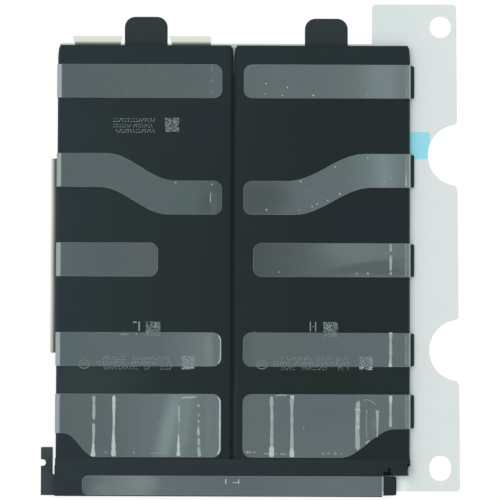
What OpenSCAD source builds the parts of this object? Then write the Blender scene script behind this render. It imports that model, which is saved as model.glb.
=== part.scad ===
// Two-cell pouch battery pack for a tablet, lying with its adhesive side up on its release liner.
// Millimetres. X runs along the protection board, Y from the board to the far end, Z is thickness.

/* [Cells] */
// Width of one pouch cell over its folded side seams
cell_w = 58.8; // [48:0.1:72]
// Length of a cell's body, from the shut end to the far end
cell_len = 140.4; // [110:0.1:170]
// Thickness of a cell
cell_t = 2.9; // [2.4:0.05:4]
// Gap between the two cells
cell_gap = 0.3; // [0.2:0.05:1]
// Radius of the upper long edges of a cell
shoulder_r = 1.4; // [0.6:0.05:1.6]
// Radius of the lower edges of a cell
heel_r = 0.5; // [0.2:0.05:0.8]
// Radius of the four corners of a cell, seen from above
corner_r = 0.8; // [0.5:0.1:3]
// Width that the far end loses at each side
end_taper = 0.4; // [0:0.05:1]
// Length over which the far end narrows
end_taper_len = 4; // [2:0.5:12]
// Thickness of a side seam folded against the cell
seam_t = 0.35; // [0.2:0.05:0.5]
// Height of a folded side seam
seam_h = 1.15; // [0.6:0.05:1.5]
// Distance that a folded seam stops short of the far end
seam_end = 0.8; // [0.5:0.1:4]
// Length of the sealed terrace that the cell tabs leave
terrace_len = 2.8; // [2:0.1:4]
// Thickness of the sealed terrace
terrace_t = 0.35; // [0.2:0.05:0.6]
// Distance that the terrace is narrower than its cell, each side
terrace_inset = 2; // [1:0.5:6]
// Corner radius of the terrace
terrace_r = 0.8; // [0.2:0.1:1.2]

/* [Cell tabs] */
// Width of a cell tab
cell_tab_w = 5; // [3:0.1:8]
// Thickness of a cell tab
cell_tab_t = 0.12; // [0.08:0.01:0.2]
// Length of a cell tab that is welded flat on its plate
cell_tab_seat = 2.2; // [1:0.1:3]
// Distance between the middles of the two tabs of a cell
cell_tab_pitch = 18; // [10:0.5:30]
// Distance that a weld plate is larger than its tab, each side
plate_margin = 0.3; // [0.1:0.05:0.4]

/* [Protection board] */
// Thickness of the board
board_t = 0.8; // [0.5:0.05:1.2]
// Width of the board's main part
board_w = 6.9; // [5:0.1:9]
// Distance from the board's right end to the pack's right side
board_right_inset = 9.4; // [4:0.05:14]
// Width of the connector tongue
tongue_w = 3.9; // [3:0.1:6]
// Length of the connector tongue
tongue_len = 16.1; // [13:0.1:20]
// Corner radius of the connector tongue
tongue_r = 0.3; // [0.1:0.05:0.6]
// Width of the slot between the tongue and the wrap
slot_w = 0.8; // [0.5:0.05:1.5]
// Radius of the screw notch in the tongue
notch_r = 1.1; // [0.8:0.05:1.5]
// Depth of the screw notch
notch_depth = 1.65; // [1.2:0.05:2]
// Distance from the pack's front edge to the screw notch
notch_y = 10.95; // [9:0.05:12]
// Thickness of a contact pad or weld plate
pad_t = 0.05; // [0.03:0.01:0.1]
// Number of contact pads under the tongue
contact_count = 5; // [2:1:6]
// Length of a contact pad across the tongue
contact_w = 2.9; // [1.5:0.1:3.2]
// Width of a contact pad
contact_h = 0.95; // [0.6:0.05:1.1]
// Distance between contact pads
contact_pitch = 1.35; // [1.2:0.05:1.45]
// Distance from the pack's front edge to the first contact pad
first_contact = 1.6; // [0.6:0.1:2]
// Distance from the board's front edge to the middle line of its components
component_line = 2.8; // [2.4:0.1:3.2]

/* [Board wrap] */
// Thickness of the wrapping tape
wrap_t = 0.1; // [0.06:0.01:0.15]
// Length of the tape that laps over the cells
wrap_lap = 2.25; // [1:0.05:4]
// Radius of the wrap's upper front edge
wrap_edge_r = 0.6; // [0.3:0.05:1]
// Distance from the cells' shut ends to the pack's front edge
wrap_len = 10.2; // [9:0.05:13]
// Distance that the wrap stops short of the pack's right side
wrap_right_inset = 0.5; // [0.2:0.05:1.5]
// Width of the relief cut at the wrap's inner corner
relief_w = 2.6; // [1:0.1:4]
// Length of the relief cut
relief_len = 1.3; // [0.5:0.1:2]
// Distance from the board's end of the wrap to the relief cut
relief_start = 0.4; // [0:0.1:1]
// Width of the slit that goes on from the relief cut
slit_w = 0.8; // [0.3:0.1:1.2]
// Length of the slit past the relief cut
slit_len = 1.25; // [0.4:0.05:1.5]
// Distance from the relief cut's left side to the slit
slit_start = 1.55; // [0:0.05:2.8]

/* [Adhesive strips] */
// Thickness of a stretch-release strip
strip_t = 0.2; // [0.1:0.05:0.4]
// Width of a strip
strip_w = 11.2; // [8:0.1:14]
// Corner radius of a strip's inner end
strip_r = 2.8; // [1:0.1:4]
// Distance from the cells' far end to the middle of the first strip
first_strip = 12.25; // [8:0.05:16]
// Gap between the fourth strip and the wide fifth one
fourth_gap = 9.25; // [4:0.05:12]
// Distance that the second strips step towards the front
second_step = 9.15; // [4:0.05:9.5]
// Distance from the left side to the start of the second strip's step
left_step_start = 16.3; // [10:0.1:20]
// Distance from the left side to the end of that step
left_step_end = 39.5; // [30:0.1:42]
// Distance from the right side to the start of the second strip's step
right_step_start = 15; // [10:0.1:20]
// Distance from the right side to the end of that step
right_step_end = 41; // [30:0.1:42]
// Distance that the lower edge of a step lies nearer the pack's side
step_lead = 2.2; // [0:0.1:4]
// Width of the wide fifth strips
fifth_w = 20.9; // [16:0.1:24]
// Gap between the wrap and the fifth strips
fifth_gap = 0.6; // [0.2:0.05:3]
// Width that the left fifth strip loses towards its outer end
fifth_rise_left = 7.85; // [4:0.05:10]
// Width that the right fifth strip loses towards its outer end
fifth_rise_right = 9.55; // [4:0.05:10]
// Distance from the left side to where that loss starts
left_rise_start = 2.9; // [2:0.1:6]
// Distance from the left side to where it ends
left_rise_end = 13.3; // [8:0.1:30]
// Distance from the right side to where that loss starts
right_rise_start = 5; // [2:0.1:6]
// Distance from the right side to where it ends
right_rise_end = 23.3; // [8:0.1:30]
// Distance from a left strip's inner end to the cell's inner side
left_end_inset = 3.8; // [2:0.1:6]
// Distance from a right strip's inner end to the cell's inner side
right_end_inset = 3.2; // [2:0.1:6]
// Distance that the left third strip stops short of the others
left_third_short = 21.2; // [0:0.1:28]
// Distance that the right third strip stops short of the others
right_third_short = 3.3; // [0:0.1:28]
// Width of the strip on the wrap
front_strip_w = 6.4; // [4:0.1:6.5]
// Distance from the wrap's left side to the left end of the strip on it
front_strip_inset = 9.3; // [2:0.1:30]
// Corner radius of the strip on the wrap
front_strip_r = 2; // [0.5:0.1:3]
// Distance from the pack's front edge to the strip on the wrap
front_low = 0.45; // [0.2:0.05:0.6]
// Radius over which the strip on the wrap bends down
front_bend_r = 1; // [0.5:0.1:2]

/* [Pull tabs] */
// Thickness of a black pull tab
tab_t = 0.15; // [0.1:0.01:0.2]
// Length of a right pull tab along its slope
right_tab_len = 2.15; // [1:0.05:2.6]
// Length of the right strips on the slope, between their bend and their pull tabs
slope_len = 0.45; // [0.1:0.05:0.8]
// Slope of the right pull tabs, in degrees
right_tab_slope = 50; // [30:1:70]
// Distance that a pull tab is narrower than its strip, each side
tab_inset = 0.15; // [0:0.05:0.5]
// Corner radius of a side pull tab
tab_r = 0.6; // [0.2:0.05:0.9]
// Length of the front strip's pull tab
front_tab_len = 4.7; // [2:0.1:6]
// Slope of the front strip's pull tab, in degrees
front_tab_slope = 20; // [5:1:24]
// Corner radius of the front strip's pull tab
front_tab_r = 0.7; // [0.2:0.1:1.5]
// Width of a far-end pull tab and of the strip under the cell
far_tab_w = 14.4; // [10:0.1:17]
// Distance that the left far-end pull tab stands out
far_tab_left = 9.75; // [4:0.05:11]
// Distance that the right far-end pull tab stands out
far_tab_right = 9.3; // [4:0.05:11]
// Corner radius of a far-end pull tab
far_tab_r = 3.6; // [1:0.1:4.5]
// Distance from the right cell's middle to its far-end pull tab
far_tab_shift = 1.4; // [-2:0.1:2]
// Distance from the wrap to the near end of the adhesive strip under a cell
under_gap = 20; // [5:0.5:60]
// Thickness of the adhesive strips under the cells
under_t = 0.15; // [0.14:0.01:0.25]

/* [Liner and flaps] */
// Thickness of the release liner
liner_t = 0.12; // [0.08:0.01:0.2]
// Distance that the liner stands out past the right side, at the far end
liner_right_far = 15.6; // [14:0.1:20]
// Distance that the liner stands out past the right side, at the near end
liner_right_near = 16.9; // [15:0.1:20]
// Distance from the liner's near edge to the pack's front edge
liner_near = 1.7; // [0.5:0.1:4]
// Distance that the liner's tall part stands out past the far end
liner_far = 14.2; // [13:0.1:20]
// Width of the liner's tall part inside the pack's right side
liner_tall_in = 12.7; // [5:0.1:20]
// Distance that the liner's fringe stands out past the far end
liner_fringe = 0.8; // [0.5:0.1:4]
// Distance from the pack's left side to the liner's left edge
liner_left_inset = 0.5; // [0.2:0.1:4]
// Corner radius of the liner
liner_r = 1.3; // [0.5:0.1:3]
// Radius of the round locating hole
round_hole_r = 3.6; // [2:0.05:4.5]
// Distance from the pack's right side to the middle of both holes
hole_x = 10.3; // [9:0.1:12]
// Distance from the far end to the middle of the round hole
round_hole_y = 6.6; // [5:0.1:8]
// Distance from the liner's near edge to the middle of the oval hole
oval_hole_y = 7.7; // [6:0.1:10]
// Distance that the oval hole is longer than it is wide
oval_hole_long = 1.2; // [0:0.1:3]
// Radius of the thumb scallops
scallop_r = 10.3; // [8:0.1:10.5]
// Distance from the far end to the middle of the first scallop
scallop_far = 36.5; // [34:0.1:44]
// Distance from the front edge to the middle of the second scallop
scallop_near = 48.7; // [36:0.1:52]
// Radius of the corners of a scallop's mouth
scallop_lip_r = 1.6; // [0.5:0.1:2]
// Distance that a scallop's middle lies outside the liner's edge
scallop_out = 0.4; // [0:0.1:2]
// Width of the coloured pull tab on the liner
liner_tab_w = 9; // [6:0.1:14]
// Distance that the coloured pull tab stands out past the pack's right side
liner_tab_out = 6.8; // [4:0.1:9]
// Corner radius of the coloured pull tab
liner_tab_r = 1; // [0.5:0.1:2]
// Distance from the first scallop's middle to the middle of that tab
liner_tab_shift = 3.2; // [2:0.1:5]
// Thickness of a paper flap
flap_t = 0.1; // [0.06:0.01:0.13]
// Length of a paper flap under its cell
flap_under = 8; // [4:0.5:12]
// Width of the first far flap
first_flap_w = 16.8; // [8:0.1:17]
// Width of the second far flap
second_flap_w = 13.9; // [8:0.1:17]
// Distance that a far flap stands out
flap_out = 3.2; // [1.5:0.1:5]
// Gap between a far flap and the pull tab beside it
flap_gap = 0.7; // [0.4:0.05:2]
// Length of the side flap
side_flap_len = 65; // [30:0.5:68]
// Distance that the side flap stands out
side_flap_out = 2.2; // [1:0.1:3]
// Distance from the front edge to the side flap
side_flap_y = 47.5; // [42:0.5:60]
// Angle that a flap has curled up at its free edge, in degrees
flap_curl = 24; // [5:1:40]

/* [Hidden] */

$fn = 64;

// Facets of a circle that is wider than the others
fine = 180;
// Clearance of a part that only lies beside another
fit = 0.05;
// Length by which a cut runs past the face that it opens
past = 1;

// Width, length and height of each kind of board component
mosfet_size = [3.3, 3.3, 0.9];
chip_size = [2.2, 2.2, 0.7];
gauge_size = [4.2, 4.2, 0.85];
resistor_size = [3.2, 1.7, 0.6];
fuse_size = [3, 2.4, 0.9];
thermistor_size = [0.6, 1.1, 0.5];
capacitor_size = [0.55, 1.05, 0.5];
// Distance between two capacitors of a row, and of the first one from the chip's middle
capacitor_pitch = 0.9;
first_capacitor = 2.2;
// Places of the other components: from the middle of the board, or from the middle of a cell
mosfet_x = 5.5;
gauge_shift = 1;
resistor_shift = -1;
fuse_shift = 2.8;
thermistor_shift = 5;

// Height of the cells' lower faces, and of their upper faces
base_z = liner_t + under_t;
top_z = base_z + cell_t;
// Half the pack's width, and the place of its far end
half_w = cell_gap / 2 + cell_w;
far_y = wrap_len + cell_len;
// Middle of a cell, from the middle of the pack
cell_mid = (cell_gap + cell_w) / 2;

// Radii, kept inside the wall that carries them
edge_r = min(shoulder_r, cell_t / 2 - fit);
foot_r = min(heel_r, cell_t - edge_r - fit);
front_r = min(wrap_edge_r, board_w / 4);

// Sides of the wrap and of the tongue beside it
wrap_left = -half_w - fit - wrap_t - fit;
wrap_right = half_w - wrap_right_inset;
board_right = half_w - board_right_inset;
wrap_step_x = board_right + fit + wrap_t;
wrap_step_y = wrap_len - terrace_len - 2 * (fit + wrap_t);
tongue_right = wrap_left - slot_w;
tongue_left = tongue_right - tongue_w;
tongue_mid = (tongue_left + tongue_right) / 2;
wrap_top = top_z + wrap_t;
board_y = wrap_t + fit;
board_top = base_z + board_t;
// Height of the terrace over the board
terrace_rise = 0.3;
terrace_z = board_top + terrace_rise;
// Length of a cell tab before its drop, of the drop, and of the board that stays free past its seat
tab_lead = 0.3;
tab_drop = 0.9;
seat_free = 0.4;
seat_end = min(wrap_len - terrace_len - tab_lead - tab_drop, board_y + board_w - seat_free);

// Lower and upper edge of the fifth strips at their inner ends
fifth_low = wrap_len + wrap_lap + fifth_gap;
fifth_high = fifth_low + fifth_w;
// Middle of each other side strip at its outer end, from the front edge
fourth_strip = fifth_high + fourth_gap + strip_w / 2;
strip_pitch = (far_y - first_strip - fourth_strip) / 3;
strip_y = [for (i = [0:3]) fourth_strip + (3 - i) * strip_pitch];

// Height at which the flaps lie
flap_z = liner_t;
// Distance that a far flap narrows behind its free edge, at its left and at its right end
first_flare = [1, 0.8];
second_flare = [0.9, 0.1];
// Radii of the flaps' curl
flap_r = flap_out / sin(flap_curl);
side_flap_r = side_flap_out / sin(flap_curl);

// Places on the liner
liner_left = -half_w + liner_left_inset;
hole_mid_x = half_w + hole_x;
first_scallop_y = far_y - scallop_far;
liner_tab_y = first_scallop_y + liner_tab_shift;

// Corners of the whole part, which put the origin under its middle
low_x = tongue_left;
high_x = half_w + liner_right_near;
high_y = far_y + liner_far;

// Puts the pack's own frame, whose origin is at the middle of its front edge, into the part's frame
module place() {
    translate([-(low_x + high_x) / 2, -high_y / 2, 0])
        children();
}

// Right side as it is drawn, left side mirrored
module on_side(side) {
    if (side < 0) mirror([1, 0, 0]) children();
    else children();
}

// Rectangle with four rounded corners, centred in x and standing on y = 0
module rounded(w, h, r) {
    translate([-w / 2 + r, 0]) square([w - 2 * r, h]);
    translate([-w / 2, r]) square([w, h - 2 * r]);
    for (x = [-w / 2 + r, w / 2 - r], y = [r, h - r])
        translate([x, y]) circle(r);
}

// Rounded section with one radius at the top and one at the bottom
module section(w, h, r_top, r_low) {
    intersection() {
        translate([0, -2 * r_top]) rounded(w, h + 2 * r_top, r_top);
        rounded(w, h + 2 * r_low, r_low);
    }
}

// Draws a section in X and Z, and runs it along Y from y0 to y1
module along_y(y0, y1) {
    translate([0, y1, 0]) rotate([90, 0, 0]) linear_extrude(y1 - y0) children();
}

// Draws a section in Y and Z, and runs it along X from x0 to x1
module along_x(x0, x1) {
    translate([x0, 0, 0]) rotate([90, 0, 90]) linear_extrude(x1 - x0) children();
}

// Ring sector between two angles, less than half a turn apart
module ring(r, t, from, to) {
    reach = 3 * (r + t);
    intersection() {
        difference() {
            circle(r + t, $fn = fine);
            circle(r, $fn = fine);
        }
        polygon([
            [0, 0],
            [reach * cos(from), reach * sin(from)],
            [reach * cos((from + to) / 2), reach * sin((from + to) / 2)],
            [reach * cos(to), reach * sin(to)]
        ]);
    }
}

// Cell outline from above: round corners, and a far end that narrows a little
module cell_outline(w, len) {
    intersection() {
        rounded(w, len, corner_r);
        polygon([
            [-w / 2, 0],
            [w / 2, 0],
            [w / 2, len - end_taper_len],
            [w / 2 - end_taper, len],
            [-w / 2 + end_taper, len],
            [-w / 2, len - end_taper_len]
        ]);
    }
}

// Sealed pouch: a drawn cup with round edges, two folded side seams and a terrace at the shut end
module pouch() {
    core_w = cell_w - 2 * seam_t;
    seam_z = cell_t - edge_r - seam_h;
    translate([0, wrap_len, base_z]) {
        intersection() {
            along_y(0, cell_len) section(core_w, cell_t, edge_r, foot_r);
            along_x(-cell_w, cell_w) translate([cell_len / 2, 0]) section(cell_len, cell_t, edge_r, foot_r);
            linear_extrude(cell_t) cell_outline(core_w, cell_len);
        }
        intersection() {
            for (side = [-1, 1])
                translate([side * (cell_w / 2 - seam_t), 0, seam_z])
                    along_y(corner_r, cell_len - seam_end) rounded(2 * seam_t, seam_h, seam_t / 2);
            linear_extrude(cell_t) cell_outline(cell_w, cell_len);
        }
        translate([0, -terrace_len, terrace_z - base_z])
            linear_extrude(terrace_t)
                rounded(cell_w - 2 * terrace_inset, terrace_len + edge_r + fit, terrace_r);
    }
}

module left_cell() {
    color("#2f383a") place() translate([-cell_mid, 0, 0]) pouch();
}

module right_cell() {
    color("#2b3637") place() translate([cell_mid, 0, 0]) pouch();
}

// Cell tab that leaves the terrace, steps down and lies flat on its weld plate
module cell_tab(x) {
    start = wrap_len - terrace_len;
    bend = start - tab_lead;
    low = board_top + pad_t;
    high = terrace_z + (terrace_t - cell_tab_t) / 2;
    translate([x, 0, 0]) along_x(-cell_tab_w / 2, cell_tab_w / 2)
        polygon([
            [start, high],
            [bend, high],
            [seat_end, low],
            [seat_end - cell_tab_seat, low],
            [seat_end - cell_tab_seat, low + cell_tab_t],
            [seat_end, low + cell_tab_t],
            [bend, high + cell_tab_t],
            [start, high + cell_tab_t]
        ]);
}

module left_positive_tab() {
    color("#c9ccd0") place() cell_tab(-cell_mid - cell_tab_pitch / 2);
}

module left_negative_tab() {
    color("#b9bcb6") place() cell_tab(-cell_mid + cell_tab_pitch / 2);
}

module right_positive_tab() {
    color("#c9ccd0") place() cell_tab(cell_mid - cell_tab_pitch / 2);
}

module right_negative_tab() {
    color("#b9bcb6") place() cell_tab(cell_mid + cell_tab_pitch / 2);
}

// Board with a tongue that turns up beside the left cell, a screw notch and a slot with a round foot
module protection_board() {
    top = board_y + board_w;
    color("#3e4748") place() translate([0, 0, base_z]) linear_extrude(board_t)
        difference() {
            union() {
                translate([tongue_left, board_y]) square([board_right - tongue_left, board_w]);
                translate([tongue_mid, board_y])
                    rounded(tongue_w, tongue_len - board_y, tongue_r);
                translate([tongue_right, top - fit]) square([slot_w, slot_w / 2 + fit]);
            }
            translate([tongue_right + slot_w / 2, top + slot_w / 2]) circle(slot_w / 2);
            translate([tongue_left + notch_depth - notch_r, notch_y]) circle(notch_r);
            translate([tongue_left - past, notch_y - notch_r])
                square([past + notch_depth - notch_r, 2 * notch_r]);
        }
}

// Gold pads on the tongue's lower face, past the screw notch and before it
module connector_contacts() {
    color("#d3b257") place()
        for (i = [0:contact_count - 1])
            translate([tongue_mid, first_contact + i * contact_pitch, base_z - pad_t])
                linear_extrude(pad_t) rounded(contact_w, contact_h, contact_h / 5);
}

// Middle of every cell tab, in the order of the tabs from left to right
tab_places = [for (mid = [-cell_mid, cell_mid], side = [-1, 1]) mid + side * cell_tab_pitch / 2];

// Nickel plates that the cell tabs are welded to
module weld_plates() {
    color("#b7b8b3") place()
        for (x = tab_places)
            translate([x, seat_end - cell_tab_seat - plate_margin, board_top])
                linear_extrude(pad_t)
                    rounded(cell_tab_w + 2 * plate_margin, cell_tab_seat + 2 * plate_margin, plate_margin);
}

// Board component of a size, with rounded corners, standing on the board's component line
module component(x, size) {
    translate([x, board_y + component_line - size.y / 2, board_top])
        linear_extrude(size.z) rounded(size.x, size.y, min(size.x, size.y) / 6);
}

module protection_mosfets() {
    color("#26282a") place()
        for (x = [-mosfet_x, mosfet_x])
            component(x, mosfet_size);
}

module protection_chip() {
    color("#222426") place() component(0, chip_size);
}

module fuel_gauge_chip() {
    color("#202224") place() component(-cell_mid + gauge_shift, gauge_size);
}

module sense_resistor() {
    color("#2d2b28") place() component(cell_mid + resistor_shift, resistor_size);
}

module thermal_fuse() {
    color("#8d8f88") place() component(cell_mid + fuse_shift, fuse_size);
}

module thermistor() {
    color("#5a4a3c") place() component(-cell_mid + thermistor_shift, thermistor_size);
}

// Two rows of small capacitors: three beside the large chip, two beside the small one
module capacitors() {
    color("#a58e6a") place() {
        for (i = [0:2])
            component(-cell_mid - first_capacitor - i * capacitor_pitch, capacitor_size);
        for (i = [0:1])
            component(first_capacitor + i * capacitor_pitch, capacitor_size);
    }
}

// Outline of the wrap from above, drawn in by an inset: the lower right part stops at the board's end
module wrap_outline(inset) {
    translate([wrap_left + inset, inset])
        square([wrap_step_x - wrap_left - 2 * inset, wrap_len - inset]);
    translate([wrap_left + inset, wrap_step_y + inset])
        square([wrap_right - wrap_left - 2 * inset, wrap_len - wrap_step_y - inset]);
}

// Box round the board and the terraces: flat above and below, with a round upper front edge
module wrap_box(inset) {
    grow = wrap_t - inset;
    intersection() {
        translate([0, 0, base_z - grow]) linear_extrude(cell_t + 2 * grow) wrap_outline(inset);
        along_x(wrap_left, half_w)
            translate([wrap_len + inset, base_z - grow])
                section(2 * wrap_len, cell_t + 2 * grow, front_r - inset, wrap_t + fit - inset);
    }
}

// Tape round both cells at their shut ends
module wrap_band() {
    inner_w = 2 * half_w + 2 * fit;
    translate([0, 0, base_z]) along_y(wrap_len, wrap_len + wrap_lap)
        difference() {
            translate([0, -wrap_t]) section(inner_w + 2 * wrap_t, cell_t + 2 * wrap_t, edge_r, foot_r);
            section(inner_w, cell_t, edge_r - wrap_t, foot_r - wrap_t);
        }
}

// Thin shell of tape that holds the board and laps over the cells
module board_wrap() {
    color("#2e363b") place() difference() {
        union() {
            difference() {
                wrap_box(0);
                wrap_box(wrap_t);
                translate([wrap_left + wrap_t, wrap_len - past, base_z])
                    cube([wrap_right - wrap_left - 2 * wrap_t, 2 * past, cell_t]);
            }
            wrap_band();
        }
        translate([wrap_left - past, board_y - fit, base_z - fit])
            cube([2 * past, board_w + 2 * fit, board_t + 2 * fit]);
        translate([wrap_step_x + relief_start, wrap_step_y, top_z - fit]) {
            translate([0, -past, 0]) cube([relief_w, relief_len + past, past]);
            translate([slit_start, 0, 0]) cube([slit_w, relief_len + slit_len, past]);
        }
    }
}

// Height of a stepped edge at a distance from the pack's side: flat, a smooth step, flat
function stepped(u, from, to, start, end) =
    u <= start ? from :
    u >= end ? to :
    from + (to - from) * (1 - cos(180 * (u - start) / (end - start))) / 2;

// Strip outline from above, over the distance u from the pack's side
// low and high each hold the edge's height at the outer end and at the inner end
module strip_outline(u_from, u_to, low, high, step, lead) {
    r = min(strip_r, (high[1] - low[1]) / 2);
    n = 24;
    low_start = step[0] - lead;
    low_end = step[1] - lead;
    low_u = [for (i = [0:n]) low_start + (low_end - low_start) * i / n];
    high_u = [for (i = [0:n]) step[0] + (step[1] - step[0]) * i / n];
    polygon(concat(
        [[u_from, low[0]]],
        [for (u = low_u) [u, stepped(u, low[0], low[1], low_start, low_end)]],
        [[u_to - r, low[1]], [u_to - r, high[1]]],
        [for (i = [n:-1:0]) [high_u[i], stepped(high_u[i], high[0], high[1], step[0], step[1])]],
        [[u_from, high[0]]]
    ));
    translate([u_to - r - fit, low[1] + r]) square([r + fit, high[1] - low[1] - 2 * r]);
    for (v = [low[1] + r, high[1] - r])
        translate([u_to - r, v]) circle(r);
}

// Outline of a straight strip from above, with two round corners at its inner end
module straight_outline(u_from, u_to, low, high, corner) {
    r = min(corner, (high - low) / 2);
    translate([u_from, low]) square([u_to - u_from - r, high - low]);
    translate([u_to - r - fit, low + r]) square([r + fit, high - low - 2 * r]);
    for (v = [low + r, high - r])
        translate([u_to - r, v]) circle(r);
}

// Centre of the bend over a cell's long edge, for the right side
bend_x = half_w + fit - edge_r;
bend_z = top_z - edge_r;
left_slope = 90;

function slope_of(side) = side < 0 ? left_slope : right_tab_slope;

// Length of a strip on its slope, past the bend
function lead_of(side) = side < 0 ? 0 : slope_len;
// Distance that this length is thinner and narrower than the bend, at each side
slope_thin = 0.02;
// Length on the slope from the end of the bend to just above the liner
slope_room = (bend_z - base_z + (edge_r - strip_t) * cos(right_tab_slope)) / sin(right_tab_slope);

// Draws in the plane of the slope, from the end of a bend on
module on_slope(side) {
    on_side(side)
        translate([bend_x, 0, bend_z])
            rotate([0, slope_of(side), 0])
                translate([0, 0, edge_r])
                    children();
}

// Lies an outline on the cells and bends its outer end over the long edge
module laid_strip(side, low, high) {
    on_side(side) {
        translate([half_w, 0, top_z]) mirror([1, 0, 0]) linear_extrude(strip_t) children();
        translate([bend_x, 0, bend_z]) along_y(low, high)
            ring(edge_r, strip_t, 90 - slope_of(side), 90);
    }
    if (lead_of(side) > 0)
        on_slope(side) translate([-2 * fit, low + slope_thin, slope_thin])
            cube([lead_of(side) + 2 * fit, high - low - 2 * slope_thin, strip_t - 2 * slope_thin]);
}

// Pull tab that goes on from the end of a strip, in the same direction
module bent_tab(side, low, high, len) {
    on_slope(side) linear_extrude(tab_t)
        translate([lead_of(side), low + tab_inset])
            tab_outline(len, high - low - 2 * tab_inset, tab_r);
}

// Tab outline that starts square at x = 0 and ends with two round corners
module tab_outline(len, w, r) {
    square([len - r, w]);
    translate([len - r - fit, r]) square([r + fit, w - 2 * r]);
    for (y = [r, w - r])
        translate([len - r, y]) circle(r);
}

u_start = edge_r - fit;

function end_inset(side) = side < 0 ? left_end_inset : right_end_inset;
function third_short(side) = side < 0 ? left_third_short : right_third_short;
function fifth_rise(side) = side < 0 ? fifth_rise_left : fifth_rise_right;

// Where a stepped edge starts and ends, from the pack's side
function second_steps(side) =
    side < 0 ? [left_step_start, left_step_end] : [right_step_start, right_step_end];
function fifth_steps(side) =
    side < 0 ? [left_rise_start, left_rise_end] : [right_rise_start, right_rise_end];

// Lower and upper edge of a side strip at its outer end
function outer_low(side, i) = i == 5 ? fifth_low + fifth_rise(side) : strip_y[i - 1] - strip_w / 2;
function outer_high(side, i) = i == 5 ? fifth_high : strip_y[i - 1] + strip_w / 2;

// One side strip, counted from the far end: the second steps down, the fifth is wide
module side_strip(side, i) {
    u_end = cell_w - end_inset(side) - (i == 3 ? third_short(side) : 0);
    low = outer_low(side, i);
    high = outer_high(side, i);
    laid_strip(side, low, high) {
        if (i == 2)
            strip_outline(u_start, u_end, [low, low - second_step], [high, high - second_step],
                second_steps(side), step_lead);
        else if (i == 5)
            strip_outline(u_start, u_end, [low, fifth_low], [high, high], fifth_steps(side), 0);
        else
            straight_outline(u_start, u_end, low, high, strip_r);
    }
}

// Left tabs run down the side to just above the liner, right tabs stand out over it
module side_tab(side, i) {
    len = side < 0 ? bend_z - base_z - fit : min(right_tab_len, slope_room - slope_len);
    bent_tab(side, outer_low(side, i), outer_high(side, i), len);
}

module left_strip(i) {
    color("#5a6767") place() side_strip(-1, i);
}

module right_strip(i) {
    color("#6b7978") place() side_strip(1, i);
}

module left_strip_tab(i) {
    color("#253436") place() side_tab(-1, i);
}

module right_strip_tab(i) {
    color("#253436") place() side_tab(1, i);
}

// Strip on the wrap, whose right end starts to bend down past the board's end
module front_strip() {
    len = wrap_step_x - wrap_left - front_strip_inset;
    color("#66737a") place() {
        translate([wrap_step_x, front_low, wrap_top]) mirror([1, 0, 0]) linear_extrude(strip_t)
            straight_outline(0, len, 0, front_strip_w, front_strip_r);
        translate([wrap_step_x, 0, wrap_top - front_bend_r]) along_y(front_low, front_low + front_strip_w)
            ring(front_bend_r, strip_t, 90 - front_tab_slope, 90);
    }
}

module front_strip_tab() {
    color("#2b3537") place()
        translate([wrap_step_x, front_low + fit, wrap_top - front_bend_r])
            rotate([0, front_tab_slope, 0])
                translate([0, 0, front_bend_r])
                    linear_extrude(tab_t)
                        tab_outline(front_tab_len, front_strip_w - 2 * fit, front_tab_r);
}

// Adhesive strip between a cell and the liner
module under_strip(x) {
    near = wrap_len + wrap_lap + under_gap;
    translate([x - far_tab_w / 2, near, liner_t])
        cube([far_tab_w, far_y - near, under_t]);
}

// Pull tab that goes on from the strip under a cell, no thicker than that strip
module far_tab(x, len) {
    t = min(tab_t, under_t);
    translate([x + far_tab_w / 2, far_y, base_z - t])
        rotate([0, 0, 90]) linear_extrude(t) tab_outline(len, far_tab_w, far_tab_r);
}

module left_under_strip() {
    color("#cfd6d3") place() under_strip(-cell_mid);
}

module right_under_strip() {
    color("#cfd6d3") place() under_strip(cell_mid + far_tab_shift);
}

module left_far_tab() {
    color("#31393c") place() far_tab(-cell_mid, far_tab_left);
}

module right_far_tab() {
    color("#31393c") place() far_tab(cell_mid + far_tab_shift, far_tab_right);
}

// Section of a paper flap: flat under the cell up to s = 0, then curling up
module flap_section(r) {
    translate([-flap_under, 0]) square([flap_under, flap_t]);
    translate([0, r]) rotate(-90) ring(r - flap_t, flap_t, 0, flap_curl);
}

// Far flap between x0 and x1, which widens towards the corners of its free edge
module far_flap(x0, x1, flare) {
    intersection() {
        translate([0, far_y, flap_z]) along_x(x0 - past, x1 + past) flap_section(flap_r);
        linear_extrude(top_z) polygon([
            [x0 + flare[0], far_y - flap_under],
            [x1 - flare[1], far_y - flap_under],
            [x1 - flare[1], far_y],
            [x1, far_y + flap_out],
            [x0, far_y + flap_out],
            [x0 + flare[0], far_y]
        ]);
    }
}

module first_far_flap() {
    x1 = -cell_mid - far_tab_w / 2 - flap_gap;
    color("#dde2d5") place() far_flap(x1 - first_flap_w, x1, first_flare);
}

module second_far_flap() {
    x0 = -cell_mid + far_tab_w / 2 + flap_gap;
    color("#dde2d5") place() far_flap(x0, x0 + second_flap_w, second_flare);
}

module side_flap() {
    color("#e1e4e1") place()
        translate([-half_w, side_flap_y + side_flap_len, flap_z])
            rotate([90, 0, 0]) linear_extrude(side_flap_len) mirror([1, 0, 0]) flap_section(side_flap_r);
}

// Distance that the liner's right edge stands out, at a height along the pack
function liner_edge(y) =
    half_w + liner_right_near
        + (liner_right_far - liner_right_near) * (y - liner_near) / (far_y + liner_far - liner_near);

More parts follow.
